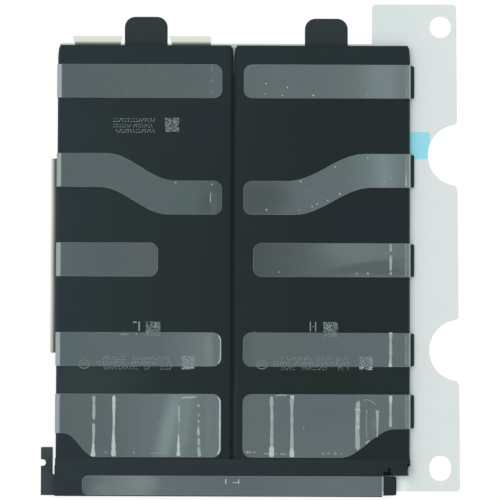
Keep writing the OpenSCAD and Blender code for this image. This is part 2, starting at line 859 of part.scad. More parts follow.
// Thumb scallop in the liner's right edge, whose mouth opens with two round lips
module scallop(y) {
    lip_y = sqrt(pow(scallop_r + scallop_lip_r, 2) - pow(scallop_lip_r + scallop_out, 2));
    mouth = scallop_lip_r + scallop_out + past;
    translate([liner_edge(y), y]) {
        translate([scallop_out, 0]) circle(scallop_r, $fn = fine);
        difference() {
            polygon([
                [scallop_out, 0],
                [-scallop_lip_r, lip_y],
                [mouth, lip_y],
                [mouth, -lip_y],
                [-scallop_lip_r, -lip_y]
            ]);
            for (side = [-1, 1])
                translate([-scallop_lip_r, side * lip_y]) circle(scallop_lip_r);
        }
    }
}

// Liner outline: a wide sheet, a tall part at the right, and a fringe past the far end
module liner_outline() {
    top = far_y + liner_far;
    intersection() {
        union() {
            translate([liner_left, liner_near])
                square([high_x - liner_left, far_y + liner_fringe - liner_near]);
            translate([half_w - liner_tall_in, liner_near]) square([high_x, top - liner_near]);
        }
        polygon([
            [liner_left, liner_near],
            [liner_edge(liner_near), liner_near],
            [liner_edge(top), top],
            [liner_left, top]
        ]);
    }
}

// Rounds one outer corner of the liner: takes off what lies outside a circle in that corner
module corner_cut(x, y, sx, sy) {
    difference() {
        translate([x - (sx > 0 ? liner_r : past), y - (sy > 0 ? liner_r : past)])
            square(liner_r + past);
        translate([x - sx * liner_r, y - sy * liner_r]) circle(liner_r);
    }
}

// Clear release liner under the whole pack, with two locating holes and two thumb scallops
module release_liner() {
    top = far_y + liner_far;
    color("#dae4e3") place() linear_extrude(liner_t) difference() {
        liner_outline();
        corner_cut(liner_edge(liner_near), liner_near, 1, -1);
        corner_cut(liner_edge(top), top, 1, 1);
        corner_cut(half_w - liner_tall_in, top, -1, 1);
        translate([hole_mid_x, far_y + round_hole_y]) circle(round_hole_r);
        translate([hole_mid_x, liner_near + oval_hole_y]) {
            for (side = [-1, 1])
                translate([0, side * oval_hole_long / 2]) circle(round_hole_r);
            translate([-round_hole_r, -oval_hole_long / 2]) square([2 * round_hole_r, oval_hole_long]);
        }
        scallop(first_scallop_y);
        scallop(scallop_near);
    }
}

// Coloured tab between the liner and the right cell, cut with the first scallop
module liner_tab() {
    color("#93d3eb") place() translate([0, 0, liner_t]) linear_extrude(flap_t) difference() {
        translate([half_w - flap_under, liner_tab_y - liner_tab_w / 2])
            tab_outline(flap_under + liner_tab_out, liner_tab_w, liner_tab_r);
        translate([liner_edge(first_scallop_y) + scallop_out, first_scallop_y])
            circle(scallop_r, $fn = fine);
    }
}

left_cell();
right_cell();
left_positive_tab();
left_negative_tab();
right_positive_tab();
right_negative_tab();
protection_board();
connector_contacts();
weld_plates();
protection_mosfets();
protection_chip();
fuel_gauge_chip();
sense_resistor();
thermal_fuse();
thermistor();
capacitors();
board_wrap();
for (i = [1:5]) {
    left_strip(i);
    right_strip(i);
    left_strip_tab(i);
    right_strip_tab(i);
}
front_strip();
front_strip_tab();
left_under_strip();
right_under_strip();
left_far_tab();
right_far_tab();
first_far_flap();
second_far_flap();
side_flap();
liner_tab();
release_liner();
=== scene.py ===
# %% [markdown]
# # A tablet battery in Blender
# This lesson dresses a flat two-cell battery pack. The pack lies on its release liner with its
# adhesive side up: two dark pouch cells, a taped protection board, and clear stretch-release strips.
# The solid shapes come from a CAD model. Blender adds what CAD can't hold: foil, film, tape, ink,
# trapped air, dust, and soft light.
#
# The first step loads the CAD frame and sets up a helper that gives each node's box.

import math

import bmesh
import bpy
from mathutils import Matrix, Vector


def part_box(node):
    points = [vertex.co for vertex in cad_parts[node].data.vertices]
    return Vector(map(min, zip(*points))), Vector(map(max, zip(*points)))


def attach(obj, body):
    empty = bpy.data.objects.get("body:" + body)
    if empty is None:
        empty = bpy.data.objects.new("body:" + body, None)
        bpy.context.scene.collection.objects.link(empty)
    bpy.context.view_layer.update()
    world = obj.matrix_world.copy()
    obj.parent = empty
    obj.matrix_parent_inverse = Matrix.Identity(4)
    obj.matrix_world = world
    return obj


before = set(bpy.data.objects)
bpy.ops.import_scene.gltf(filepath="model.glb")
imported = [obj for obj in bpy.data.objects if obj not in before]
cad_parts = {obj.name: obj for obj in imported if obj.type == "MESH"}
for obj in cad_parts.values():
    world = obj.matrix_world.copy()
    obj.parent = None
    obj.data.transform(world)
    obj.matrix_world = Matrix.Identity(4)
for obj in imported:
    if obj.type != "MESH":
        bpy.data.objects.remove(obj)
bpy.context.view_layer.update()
MM = 0.001

# %% [markdown]
# ## Measures that later steps share
# Everything is worked out from the CAD boxes. Places on a cell are given in millimetres from its far
# left corner: to the right, and towards the board. Both cells carry the same marks at the same
# places, so one table serves both.

# %% Boxes and places
def span(node):
    """Lowest and highest corner of a node in millimetres."""
    low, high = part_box(node)
    return Vector(low) / MM, Vector(high) / MM


def on_cell(cell, right, down):
    """A place on a cell's upper face, in millimetres, from the cell's far left corner."""
    low, high = span(cell)
    return Vector((low.x + right, high.y - down, high.z))


CELLS = ("left_cell", "right_cell")
CELL_TOP = span("left_cell")[1].z
STRIP_TOP = span("left_strip_1")[1].z
FRONT_STRIP_TOP = span("front_strip")[1].z
print("cell top", round(CELL_TOP, 3), "strip top", round(STRIP_TOP, 3), "mm")

# %% [markdown]
# ## Small helpers for node trees
# Shader trees and geometry trees are both built from Python. One helper adds a node and fills its
# inputs by name: a value is written into the socket, and another node's output is linked to it.
# Short helpers on top of it do arithmetic, map one range to another, and pack or unpack a vector,
# so that a long formula stays readable. Another opens a reusable group with named inputs and outputs.

# %% Node helpers
def feed(tree, socket, value):
    """Links an output to a socket, or writes a plain value into it."""
    if isinstance(value, bpy.types.NodeSocket):
        tree.links.new(value, socket)
    else:
        socket.default_value = value


def add(tree, kind, props=None, inputs=None):
    """Adds a node, sets its properties, and feeds its inputs by name or number."""
    made = tree.nodes.new(kind)
    for key, value in (props or {}).items():
        setattr(made, key, value)
    for key, value in (inputs or {}).items():
        feed(tree, made.inputs[key], value)
    return made


def calc(tree, operation, *values):
    """One step of arithmetic on numbers."""
    return add(tree, "ShaderNodeMath", {"operation": operation}, dict(enumerate(values))).outputs[0]


def vector_calc(tree, operation, *values):
    """One step of arithmetic on vectors."""
    return add(tree, "ShaderNodeVectorMath", {"operation": operation}, dict(enumerate(values))).outputs[0]


def remap(tree, value, start, end, to=(0.0, 1.0), soft=False):
    """Maps a number from one range to another; a soft range starts and ends smoothly."""
    made = add(tree, "ShaderNodeMapRange", {"interpolation_type": "SMOOTHSTEP" if soft else "LINEAR"}, {
        "Value": value, "From Min": start, "From Max": end, "To Min": to[0], "To Max": to[1]})
    return made.outputs["Result"]


def vector_of(tree, x=0.0, y=0.0, z=0.0):
    """A vector from three numbers."""
    return add(tree, "ShaderNodeCombineXYZ", None, {"X": x, "Y": y, "Z": z}).outputs[0]


def part_of(tree, vector, axis):
    """One part of a vector: X, Y or Z."""
    return add(tree, "ShaderNodeSeparateXYZ", None, {0: vector}).outputs[axis]


def new_group(name, kind, ins, outs):
    """A node group with named inputs (name, type, value) and outputs (name, type)."""
    tree = bpy.data.node_groups.new(name, kind)
    for label, sort, value in ins:
        socket = tree.interface.new_socket(name=label, in_out="INPUT", socket_type=sort)
        if value is not None:
            socket.default_value = value
    for label, sort in outs:
        tree.interface.new_socket(name=label, in_out="OUTPUT", socket_type=sort)
    return tree, tree.nodes.new("NodeGroupInput").outputs, tree.nodes.new("NodeGroupOutput").inputs


FLOAT, VECTOR, COUNT = "NodeSocketFloat", "NodeSocketVector", "NodeSocketInt"
print("node helpers ready")

# %% [markdown]
# ## Colours
# Colours are written as six-digit screen colours, which are easy to compare with what the eye sees.
# Blender's sockets want linear light instead, so a helper turns one into the other.

# %% Colours
def linear(code):
    """The linear colour of a six-digit screen colour, by the usual screen curve."""
    parts = [int(code[i:i + 2], 16) / 255 for i in (0, 2, 4)]
    return [v / 12.92 if v <= 0.04045 else ((v + 0.055) / 1.055) ** 2.4 for v in parts]


def paint(code):
    """A screen colour as a socket value."""
    return (*linear(code), 1.0)


print("middle grey", paint("808080"))

# %% [markdown]
# ## Shared surface effects
# Five effects come back in several finishes, so each is one shader group.
# *Millimetres* gives the place on the object in millimetres, which keeps every later size readable.
# *Soft patch* is an oval mask with a blurred rim, which can lean, for sheens and shade.
# *Thin band* is the mask of a narrow line across one axis.
# *Grain* is a gain close to one that makes a surface slightly uneven.
# *Dust* is a sparse mask of tiny dots.

# %% Millimetres
mm_tree, _, mm_out = new_group("millimetres", "ShaderNodeTree", [], [("Point", VECTOR)])
mm_object = add(mm_tree, "ShaderNodeTexCoord").outputs["Object"]
mm_scaled = add(mm_tree, "ShaderNodeVectorMath", {"operation": "SCALE"}, {0: mm_object, "Scale": 1 / MM})
feed(mm_tree, mm_out["Point"], mm_scaled.outputs[0])
print(mm_tree.name)

# %% Soft patch
patch_tree, p_in, p_out = new_group(
    "soft patch", "ShaderNodeTree",
    [("Point", VECTOR, None), ("Centre", VECTOR, (0, 0, 0)), ("Radii", VECTOR, (1, 1, 1)),
     ("Lean", FLOAT, 0.0), ("Blur", FLOAT, 0.5), ("Strength", FLOAT, 1.0)],
    [("Mask", FLOAT)])
offset = vector_calc(patch_tree, "SUBTRACT", p_in["Point"], p_in["Centre"])
upright = add(patch_tree, "ShaderNodeVectorRotate", {"rotation_type": "Z_AXIS"}, {
    "Vector": offset, "Angle": p_in["Lean"]})
shape = vector_calc(patch_tree, "DIVIDE", upright.outputs[0], p_in["Radii"])
flat = vector_calc(patch_tree, "MULTIPLY", shape, (1, 1, 0))
reach = add(patch_tree, "ShaderNodeVectorMath", {"operation": "LENGTH"}, {0: flat})
outer_rim = calc(patch_tree, "ADD", 1.0, p_in["Blur"])
inner_rim = calc(patch_tree, "SUBTRACT", 1.0, p_in["Blur"])
oval = remap(patch_tree, reach.outputs["Value"], outer_rim, inner_rim, (0.0, p_in["Strength"]), soft=True)
feed(patch_tree, p_out["Mask"], oval)
print(patch_tree.name)

# %% Thin band
band_tree, b_in, b_out = new_group(
    "thin band", "ShaderNodeTree",
    [("Along", FLOAT, 0.0), ("Place", FLOAT, 0.0), ("Width", FLOAT, 0.5), ("Rim", FLOAT, 0.1)],
    [("Mask", FLOAT)])
away = calc(band_tree, "ABSOLUTE", calc(band_tree, "SUBTRACT", b_in["Along"], b_in["Place"]))
half_band = calc(band_tree, "DIVIDE", b_in["Width"], 2.0)
band_mask = remap(band_tree, away, calc(band_tree, "ADD", half_band, b_in["Rim"]), half_band, soft=True)
feed(band_tree, b_out["Mask"], band_mask)
print(band_tree.name)

# %% Grain
# Nearly all of the noise lies between these two values.
NOISE_LOW, NOISE_HIGH = 0.25, 0.75

grain_tree, g_in, g_out = new_group(
    "grain", "ShaderNodeTree",
    [("Point", VECTOR, None), ("Size", FLOAT, 0.5), ("Amount", FLOAT, 0.05), ("Stretch", VECTOR, (1, 1, 1))],
    [("Gain", FLOAT), ("Height", FLOAT)])
g_noise = add(grain_tree, "ShaderNodeTexNoise", None, {
    "Vector": vector_calc(grain_tree, "MULTIPLY", g_in["Point"], g_in["Stretch"]),
    "Scale": calc(grain_tree, "DIVIDE", 1.0, g_in["Size"]), "Detail": 3.0, "Roughness": 0.6})
least = calc(grain_tree, "SUBTRACT", 1.0, g_in["Amount"])
most = calc(grain_tree, "ADD", 1.0, g_in["Amount"])
g_gain = remap(grain_tree, g_noise.outputs["Fac"], NOISE_LOW, NOISE_HIGH, (least, most))
feed(grain_tree, g_out["Gain"], g_gain)
feed(grain_tree, g_out["Height"], g_noise.outputs["Fac"])
print(grain_tree.name)

# %% Dust
dust_tree, d_in, d_out = new_group(
    "dust", "ShaderNodeTree",
    [("Point", VECTOR, None), ("Pitch", FLOAT, 3.0), ("Size", FLOAT, 0.05), ("Share", FLOAT, 0.3)],
    [("Mask", FLOAT)])
d_cells = add(dust_tree, "ShaderNodeTexVoronoi", {"feature": "F1"}, {
    "Vector": d_in["Point"], "Scale": calc(dust_tree, "DIVIDE", 1.0, d_in["Pitch"])})
d_near = calc(dust_tree, "LESS_THAN", d_cells.outputs["Distance"],
              calc(dust_tree, "DIVIDE", d_in["Size"], d_in["Pitch"]))
d_pick = add(dust_tree, "ShaderNodeSeparateColor", None, {0: d_cells.outputs["Color"]})
d_some = calc(dust_tree, "LESS_THAN", d_pick.outputs[0], d_in["Share"])
feed(dust_tree, d_out["Mask"], calc(dust_tree, "MULTIPLY", d_near, d_some))
print(dust_tree.name)

# %% [markdown]
# ## One way to start every material
# A finish is a Principled shader whose constants sit on its own sockets, and whose colour is built
# up in layers: a base, then slow changes and soft patches, then grain, then dust. A small class keeps
# the colour that has been reached so far, so that each finish reads from top to bottom like a paint
# recipe.

# %% Finish
def group_node(tree, group, inputs):
    """Places a shared group in a tree."""
    made = tree.nodes.new("ShaderNodeGroup")
    made.node_tree = group
    for key, value in inputs.items():
        feed(tree, made.inputs[key], value)
    return made


class Finish:
    """A material that is built up layer by layer."""

    def __init__(self, name, base, rough=0.6, metal=0.0, specular=0.2, alpha=1.0):
        self.material = bpy.data.materials.new(name)
        self.material.use_nodes = True
        self.tree = self.material.node_tree
        self.tree.nodes.clear()
        self.shader = self.tree.nodes.new("ShaderNodeBsdfPrincipled")
        out = self.tree.nodes.new("ShaderNodeOutputMaterial")
        self.tree.links.new(self.shader.outputs[0], out.inputs["Surface"])
        for key, value in (("Roughness", rough), ("Metallic", metal), ("Specular IOR Level", specular),
                           ("Alpha", alpha)):
            self.shader.inputs[key].default_value = value
        self.point = group_node(self.tree, mm_tree, {}).outputs["Point"]
        self.colour = self.tone(base)

    def tone(self, code):
        """The socket value of a screen colour."""
        return paint(code)

    def along(self, axis):
        """The place along one axis, in millimetres."""
        return part_of(self.tree, self.point, axis)

    def blend(self, mask, colour, mode="MIX"):
        """Lays a colour over what is there, where the mask is white."""
        mixed = add(self.tree, "ShaderNodeMix", {"data_type": "RGBA", "blend_type": mode})
        feed(self.tree, mixed.inputs["Factor"], mask)
        feed(self.tree, mixed.inputs[6], self.colour)
        feed(self.tree, mixed.inputs[7], colour)
        self.colour = mixed.outputs[2]
        return self

    def patch(self, colour, centre, radii, blur=0.8, strength=1.0, lean=0.0):
        """A soft oval of another colour; sizes in millimetres, lean in degrees to the right."""
        mask = group_node(self.tree, patch_tree, {
            "Point": self.point, "Centre": (centre[0], centre[1], 0), "Radii": (*radii, 1), "Blur": blur,
            "Strength": strength, "Lean": math.radians(lean)})
        return self.blend(mask.outputs["Mask"], self.tone(colour))

    def band(self, colour, axis, place, width, rim=0.1, where=1.0):
        """A narrow line across an axis, kept to a mask; sizes in millimetres."""
        line = group_node(self.tree, band_tree, {
            "Along": self.along(axis), "Place": place, "Width": width, "Rim": rim})
        mask = calc(self.tree, "MULTIPLY", line.outputs["Mask"], where)
        return self.blend(mask, self.tone(colour))

    def ramp(self, axis, stops):
        """A colour that changes along an axis: stops are (millimetres, colour)."""
        along = self.along(axis)
        for (start, _), (end, colour) in zip(stops, stops[1:]):
            self.blend(remap(self.tree, along, start, end), self.tone(colour))
        return self

    def grain(self, size, amount, bump=0.0, stretch=(1, 1, 1), roughen=0.0):
        """Uneven colour, and if asked for a bumpy surface and an uneven gloss."""
        made = group_node(self.tree, grain_tree, {
            "Point": self.point, "Size": size, "Amount": amount, "Stretch": stretch})
        gain = made.outputs["Gain"]
        self.blend(1.0, vector_of(self.tree, gain, gain, gain), "MULTIPLY")
        if bump:
            self.bump(made.outputs["Height"], bump)
        if roughen:
            level = self.shader.inputs["Roughness"].default_value
            rough = remap(self.tree, made.outputs["Height"], 0.0, 1.0, (level - roughen, level + roughen))
            feed(self.tree, self.shader.inputs["Roughness"], rough)
        return self

    def bump(self, height, depth):
        """A bumpy surface; depth in millimetres."""
        made = add(self.tree, "ShaderNodeBump", None, {
            "Height": height, "Distance": depth * MM, "Strength": 1.0})
        if self.shader.inputs["Normal"].is_linked:
            feed(self.tree, made.inputs["Normal"], self.shader.inputs["Normal"].links[0].from_socket)
        feed(self.tree, self.shader.inputs["Normal"], made.outputs["Normal"])
        return self

    def dust(self, colour, pitch, size, share, strength=0.6):
        """Sparse specks of another colour."""
        made = group_node(self.tree, dust_tree, {
            "Point": self.point, "Pitch": pitch, "Size": size, "Share": share})
        faint = calc(self.tree, "MULTIPLY", made.outputs["Mask"], strength)
        return self.blend(faint, self.tone(colour))

    def facing(self, axis):
        """How far the surface faces along an axis, from -1 to 1."""
        normal = add(self.tree, "ShaderNodeNewGeometry").outputs["Normal"]
        return part_of(self.tree, normal, axis)

    def done(self):
        """Hands the colour to the shader and gives the material."""
        feed(self.tree, self.shader.inputs["Base Color"], self.colour)
        return self.material


def dress(material, *nodes):
    """Gives a finish to CAD nodes, whose meshes stay as they are."""
    for node in nodes:
        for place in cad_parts[node].material_slots:
            place.material = material


print("finish ready")

# %% [markdown]
# ## Cell foil
# A pouch cell is wrapped in aluminium laminate with a dark, nearly matte outer film, and it has a
# very fine drawn grain. A ramp of painted shading goes from a slightly blue grey at the left to a
# deeper green grey at the right. It covers both cells, because the light falls across the pack as a
# whole, and painted highlights lie along the cells' shoulders. The cut edge of the laminate shows as
# a thin bright line along the top of each folded side seam.

# %% Cell foil
left_low, left_high = span("left_cell")
right_low, right_high = span("right_cell")
# The folded seams end this far below a cell's upper face.
SEAM_DROP = 1.4
# A surface counts as upright when it faces sideways more than this.
SIDEWAYS = 0.9


def cell_foil(name):
    """Dark laminate with painted shading over the whole pack and painted highlights on its shoulders."""
    foil = Finish(name, "2a3438", rough=0.55, specular=0.05)
    # Painted shading: the tone falls from left to right across both cells, as the light falls across the
    # pack.
    foil.ramp("X", [(left_low.x, "2b3539"), (left_low.x + 20, "283233"), (left_high.x, "232c2d"),
                    (right_low.x, "252e2f"), (right_low.x + 30, "202929"), (right_high.x, "222b2d")])
    far = left_high.y
    foil.patch("273235", (-6, far), (80, 16), blur=0.6, strength=0.7)
    foil.patch("313c3e", (left_low.x + 8, far - 113), (17, 7), blur=0.8)
    foil.patch("262e34", (left_low.x + 48, far - 27), (14, 9), blur=0.9, strength=0.6)
    foil.patch("222b31", (right_low.x + 38, far - 62), (22, 20), blur=0.9, strength=0.5)
    foil.patch("22302b", (right_low.x + 40, far - 112), (24, 6), blur=0.9, strength=0.5)
    # Painted highlights along the shoulders: the left cell's outer side, the right cell's outer side, and the
    # right cell's inner side, stronger towards the board.
    foil.band("38454a", "X", left_low.x + 0.35, 0.2, rim=0.2)
    foil.band("36423f", "X", right_high.x - 0.25, 0.35, rim=0.15)
    highlight_nearer_board = remap(foil.tree, foil.along("Y"), far - 100, far - 115, (0.6, 1.0))
    foil.band("303c3e", "X", right_low.x + 0.6, 0.6, rim=0.4, where=highlight_nearer_board)
    foil.grain(0.35, 0.04, bump=0.012, roughen=0.06)
    foil.grain(9.0, 0.03)
    foil.dust("56636a", 6.0, 0.08, 0.15, 0.4)
    side_faces = calc(foil.tree, "GREATER_THAN", calc(foil.tree, "ABSOLUTE", foil.facing("X")), SIDEWAYS)
    foil.band("8d9698", "Z", left_high.z - SEAM_DROP - 0.12, 0.06, rim=0.05, where=side_faces)
    return foil.done()


dress(cell_foil("cell_foil"), *CELLS)
print("cells dressed")

# %% [markdown]
# ## Stretch-release film
# The strips are clear film with a milky adhesive. About half of what lies below shows through, so
# ink and foil stay visible under them. A screen colour that is wanted over a cell is therefore
# turned into the film's own colour first: twice the wanted light, less the light of the cell.
# Where the left strips bend over the cell's shoulder, a painted highlight makes them pale and less
# clear. The bend is found from the direction in which the surface faces.

# %% Film helpers
FILM_ALPHA = 0.5
BEND_ALPHA = 0.9
# The tone of the bare foil, over which the strips' colours are seen.
CELL_TONE = linear("273031")


def over_cell(code):
    """The film's own colour for a colour that is seen over a cell."""
    seen = linear(code)
    own = [min(1.0, (s - (1 - FILM_ALPHA) * c) / FILM_ALPHA) for s, c in zip(seen, CELL_TONE)]
    return (*own, 1.0)


class Film(Finish):
    """Milky film; its layers are given as they look over a cell."""

    def __init__(self, name, base):
        super().__init__(name, base, rough=0.42, specular=0.2, alpha=FILM_ALPHA)

    def tone(self, code):
        """The film's own colour for a colour that is seen over a cell."""
        return over_cell(code)

    def bend_highlight(self, colour):
        """A painted highlight where the film bends down to the left: paler, and less clear so that it shows.
        """
        bent = remap(self.tree, self.facing("X"), -0.02, -0.10, soft=True)
        highlight_alpha = remap(self.tree, bent, 0.0, 1.0, (FILM_ALPHA, BEND_ALPHA))
        feed(self.tree, self.shader.inputs["Alpha"], highlight_alpha)
        return self.blend(bent, paint(colour))

    def finish(self):
        """Fine cloudiness, dust, and the shader."""
        self.grain(2.5, 0.03)
        self.grain(0.4, 0.02, roughen=0.03)
        self.dust("aebbbb", 7.0, 0.10, 0.15, 0.35)
        return self.done()


print("film tone", [round(v, 3) for v in over_cell("596567")])

# %% [markdown]
# Each strip gets its own film, because the sheen differs from strip to strip. The first table gives
# the tone at a few places along each strip, in millimetres from the cell's left side. These tones
# are the film's colour together with its painted sheen. The second gives the painted sheens and
# shades: colour, centre from the cell's far left corner, radii, blur and lean. The third gives the
# painted highlight on the left strips' bends. The right strips have no bend over a shoulder, but a
# painted highlight lies along a line at their outer ends.

# %% Strip films
TONES = {
    "left_strip_1": [(3.6, "586568"), (22, "5b6769"), (48, "5d696b"), (53, "5f6d70")],
    "left_strip_2": [(3.6, "596768"), (22, "5a686a"), (45, "596869"), (50, "566363"), (54, "505d5d")],
    "left_strip_3": [(3.6, "5a676a"), (10, "586469"), (33, "5a6566")],
    "left_strip_4": [(3.6, "5a6a6b"), (20, "5f6c6f"), (35, "5f6c6f"), (42, "667376"), (49, "6e7d7e"),
                     (54, "667577")],
    "left_strip_5": [(3.6, "5c686a"), (14, "5d6a6c"), (22, "5f6c6e"), (32, "677477"), (42, "6b797b"),
                     (50, "6a787a"), (54, "6d7b7e")],
    "right_strip_1": [(5, "616e70"), (13, "647173"), (29, "647173"), (41, "697879"), (47.5, "78878a"),
                      (52, "788789"), (57, "6e7b7d")],
    "right_strip_2": [(5, "535e5f"), (11, "545f62"), (22, "626f72"), (36, "637173"), (44, "6b7b7c"),
                      (50, "7c8c8e"), (56, "6c7c7d")],
    "right_strip_3": [(7, "4d5859"), (16, "515c5e"), (29, "5d696a"), (41, "6b7a7b"), (50, "6a7879"),
                      (57, "687678")],
    "right_strip_4": [(4, "5a6668"), (8, "5f6c6e"), (16, "5e6d6c"), (29, "5f6c70"), (57, "616f70")],
    "right_strip_5": [(5, "636f72"), (29, "637173"), (57, "657173")],
}
SHEENS = {
    "left_strip_2": [("505e5c", (49.8, 53.5), (1.8, 3.5), 0.8, 0),
                     ("596666", (52.2, 53.5), (1.0, 3.5), 0.8, 0)],
    "left_strip_4": [("758483", (51.0, 102.0), (1.3, 7.5), 0.8, 0),
                     ("667478", (53.8, 98.5), (1.6, 3.5), 0.8, 0)],
    "left_strip_5": [("7f8f90", (37.9, 127.6), (2.6, 13.0), 0.8, 13),
                     ("768684", (42.9, 125.0), (2.1, 12.0), 0.8, 7),
                     ("6f7e80", (50.9, 127.0), (0.8, 10.0), 0.9, 0)],
    "right_strip_2": [("4e5a5c", (9.0, 51.5), (7.0, 3.5), 0.9, 0)],
    "right_strip_3": [("6c7b7b", (40.0, 68.0), (9.0, 3.2), 0.8, 0),
                      ("586564", (42.0, 74.6), (13.0, 1.7), 0.6, -9),
                      ("5a6665", (50.0, 75.5), (9.0, 1.6), 0.7, 0)],
    "right_strip_5": [("606d71", (30.0, 122.0), (12.0, 6.0), 0.95, 0),
                      ("6b797a", (47.4, 126.5), (1.0, 3.0), 0.9, 0)],
}
BEND_HIGHLIGHTS = {"left_strip_1": "a5adaf", "left_strip_2": "9eaaa8", "left_strip_3": "9caaa8",
         "left_strip_4": "a1aeae", "left_strip_5": "9aa6a6"}
RIGHT_FOLD_HIGHLIGHT = 58.7

for strip, stops in TONES.items():
    cell = strip.split("_")[0] + "_cell"
    film = Film(strip + "_film", stops[0][1])
    film.ramp("X", [(on_cell(cell, right, 0).x, code) for right, code in stops])
    for colour, place, radii, blur, lean in SHEENS.get(strip, []):
        film.patch(colour, on_cell(cell, *place), radii, blur, lean=lean)
    # The left strips get a painted highlight on their bends.
    if strip in BEND_HIGHLIGHTS:
        film.bend_highlight(BEND_HIGHLIGHTS[strip])
    else:
        # The right strips get a painted highlight along the fold at their outer ends.
        film.band("929f9f", "X", on_cell(cell, RIGHT_FOLD_HIGHLIGHT, 0).x, 0.5, rim=0.1)
    dress(film.finish(), strip)
print("films of the cells' strips", len(TONES))

# %% [markdown]
# The front strip lies on the wrap. At its left, over the uneven tape, it carries painted sheen in
# soft light blotches, so its tones are given in millimetres from its own left end, and two soft
# patches add painted highlights.

# %% Front strip film
FRONT_TONES = [(0, "5b686a"), (5, "667274"), (12, "727f81"), (19, "798686"), (26, "657174"),
               (56, "616c6f"), (85, "667376")]

front_low, front_high = span("front_strip")
film = Film("front_strip_film", "596568")
film.ramp("X", [(front_low.x + right, code) for right, code in FRONT_TONES] + [(front_high.x, "647174")])
# Two soft patches of painted highlight, and a painted highlight along the fold at the right end.
film.patch("7d8a8a", on_cell("left_cell", 30.6, 146.1), (3.4, 2.0), 0.9, 0.7)
film.patch("788583", on_cell("left_cell", 16.3, 148.4), (3.6, 1.5), 0.9, 0.5)
film.band("93a0a3", "X", front_high.x - 0.3, 0.35, rim=0.15)
dress(film.finish(), "front_strip")
print("front strip", round(front_low.x, 2), "to", round(front_high.x, 2), "mm")

# %% [markdown]
# ## Tape, tabs, paper and liner
# The wrap is thin black polyester tape: smooth, with faint creases that run along the board, and
# painted shade inside its small relief cut. The pull tabs are thicker black film with a matte grain.

# %% Tape and tabs
wrap_low, wrap_high = span("board_wrap")
tape = Finish("wrap_tape", "2b3539", rough=0.5, specular=0.06)
tape.ramp("X", [(wrap_low.x, "2c363a"), (-20, "2a3337"), (wrap_high.x - 15, "262f31"),
                (wrap_high.x, "242d30")])
# Painted shade inside the wrap's small relief cut.
tape.patch("10191b", on_cell("right_cell", 58.35, 140.3), (0.6, 0.95), 0.35)
tape.grain(4.0, 0.05, bump=0.03, stretch=(0.12, 1, 1))
tape.grain(0.4, 0.03, roughen=0.05)
tape.dust("5d6b70", 5.0, 0.09, 0.2, 0.4)
dress(tape.done(), "board_wrap")


def tab_film(name, tone):
    """Black film with a matte grain."""
    made = Finish(name, tone, rough=0.55, specular=0.05)
    made.grain(0.3, 0.07, bump=0.01, roughen=0.05)
    made.grain(3.0, 0.05)
    return made.done()


side_tabs = ["%s_strip_tab_%d" % (side, i) for side in ("left", "right") for i in range(1, 6)]
dress(tab_film("side_tab_film", "233132"), *side_tabs)
dress(tab_film("front_tab_film", "273133"), "front_strip_tab")
dress(tab_film("far_tab_film", "31393c"), "left_far_tab", "right_far_tab")
print("tabs", len(side_tabs) + 3)

# %% [markdown]
# The flaps are cream release paper that comes out from under the left cell. The cell shades them,
# and the shade falls off within two millimetres. A ramp of a few tones across that stretch gives the
# shade, so that it stays soft and even on so thin a sheet.

# %% Paper
def flap_paper(name, axis, stops):
    """Release paper with fibres and a tone that changes along an axis."""
    made = Finish(name, stops[0][1], rough=0.75, specular=0.1)
    made.ramp(axis, stops)
    made.grain(0.5, 0.025, bump=0.01, stretch=(0.4, 1, 1))
    return made.done()


far_y = left_high.y
flap_end = span("first_far_flap")[1].y
far_paper = flap_paper("far_flap_paper", "Y", [
    (far_y - 1, "46514e"), (far_y - 0.1, "525d5b"), (far_y + 0.6, "68736f"), (far_y + 1.2, "cbd3c8"),
    (far_y + 1.5, "f1f9e9"), (flap_end, "f4faed")])
dress(far_paper, "first_far_flap", "second_far_flap")
cell_side = left_low.x
side_paper = flap_paper("side_flap_paper", "X", [
    (cell_side - 2.0, "f8f9f7"), (cell_side - 1.7, "e0e3de"), (cell_side - 1.38, "bfc3bd"),
    (cell_side - 1.05, "858981"), (cell_side - 0.7, "626a65"), (cell_side - 0.35, "464e4a"),
    (cell_side, "323a36")])
dress(side_paper, "side_flap")
print("flaps dressed")

# %% [markdown]
# The liner is a frosted sheet that lets only a little light through. A dark band on its upper face
# stands for the deep shade between the two cells. It fades out towards the far end, where light
# comes in. The under strips' adhesive, which lies between the cells and the liner, is milky.

# %% Liner, its tab and the adhesive on it
LINER_ALPHA = 0.9
liner = Finish("liner_film", "e2edec", rough=0.5, specular=0.1, alpha=LINER_ALPHA)
# Painted shade on the liner beside the right cell, fading out over nine millimetres.
liner.ramp("X", [(right_high.x, "dce8e6"), (right_high.x + 2.2, "e3eeed"), (right_high.x + 9, "e6efee")])
# A pale patch of painted light beside the front tab's end lifts the shade there.
liner.patch("f6ffff", on_cell("left_cell", 114.8, 147.0), (2.6, 5.5), blur=0.7)
upper_face = calc(liner.tree, "GREATER_THAN", liner.facing("Z"), 0.5)
shaded = remap(liner.tree, liner.along("Y"), far_y - 3, far_y - 11, (0.0, upper_face))
gap_middle = (left_high.x + right_low.x) / 2
liner.band("20282a", "X", gap_middle, 1.3, rim=0.4, where=shaded)
liner.grain(6.0, 0.012)
liner.grain(0.5, 0.008, bump=0.005)
liner.dust("b9c6c6", 9.0, 0.15, 0.15, 0.5)
dress(liner.done(), "release_liner")

blue = Finish("liner_tab_film", "99e0f1", rough=0.5, specular=0.1)
blue.grain(2.0, 0.03, bump=0.006)
dress(blue.done(), "liner_tab")

glue = Finish("under_strip_adhesive", "cfd6d3", rough=0.6, specular=0.3)
glue.grain(1.2, 0.05, bump=0.01)
dress(glue.done(), "left_under_strip", "right_under_strip")
print("liner dressed")

# %% [markdown]
# ## The board and what it carries
# Most of the board is hidden under the wrap, but its tongue shows, and the part is also looked at in
# pieces. The mask is a dark resin with faint tracks under it. Contacts are worn gold, weld plates and
# cell tabs are brushed sheet with a fine lengthwise grain, chips are moulded resin with a dull grain,
# and small components have bright end caps.

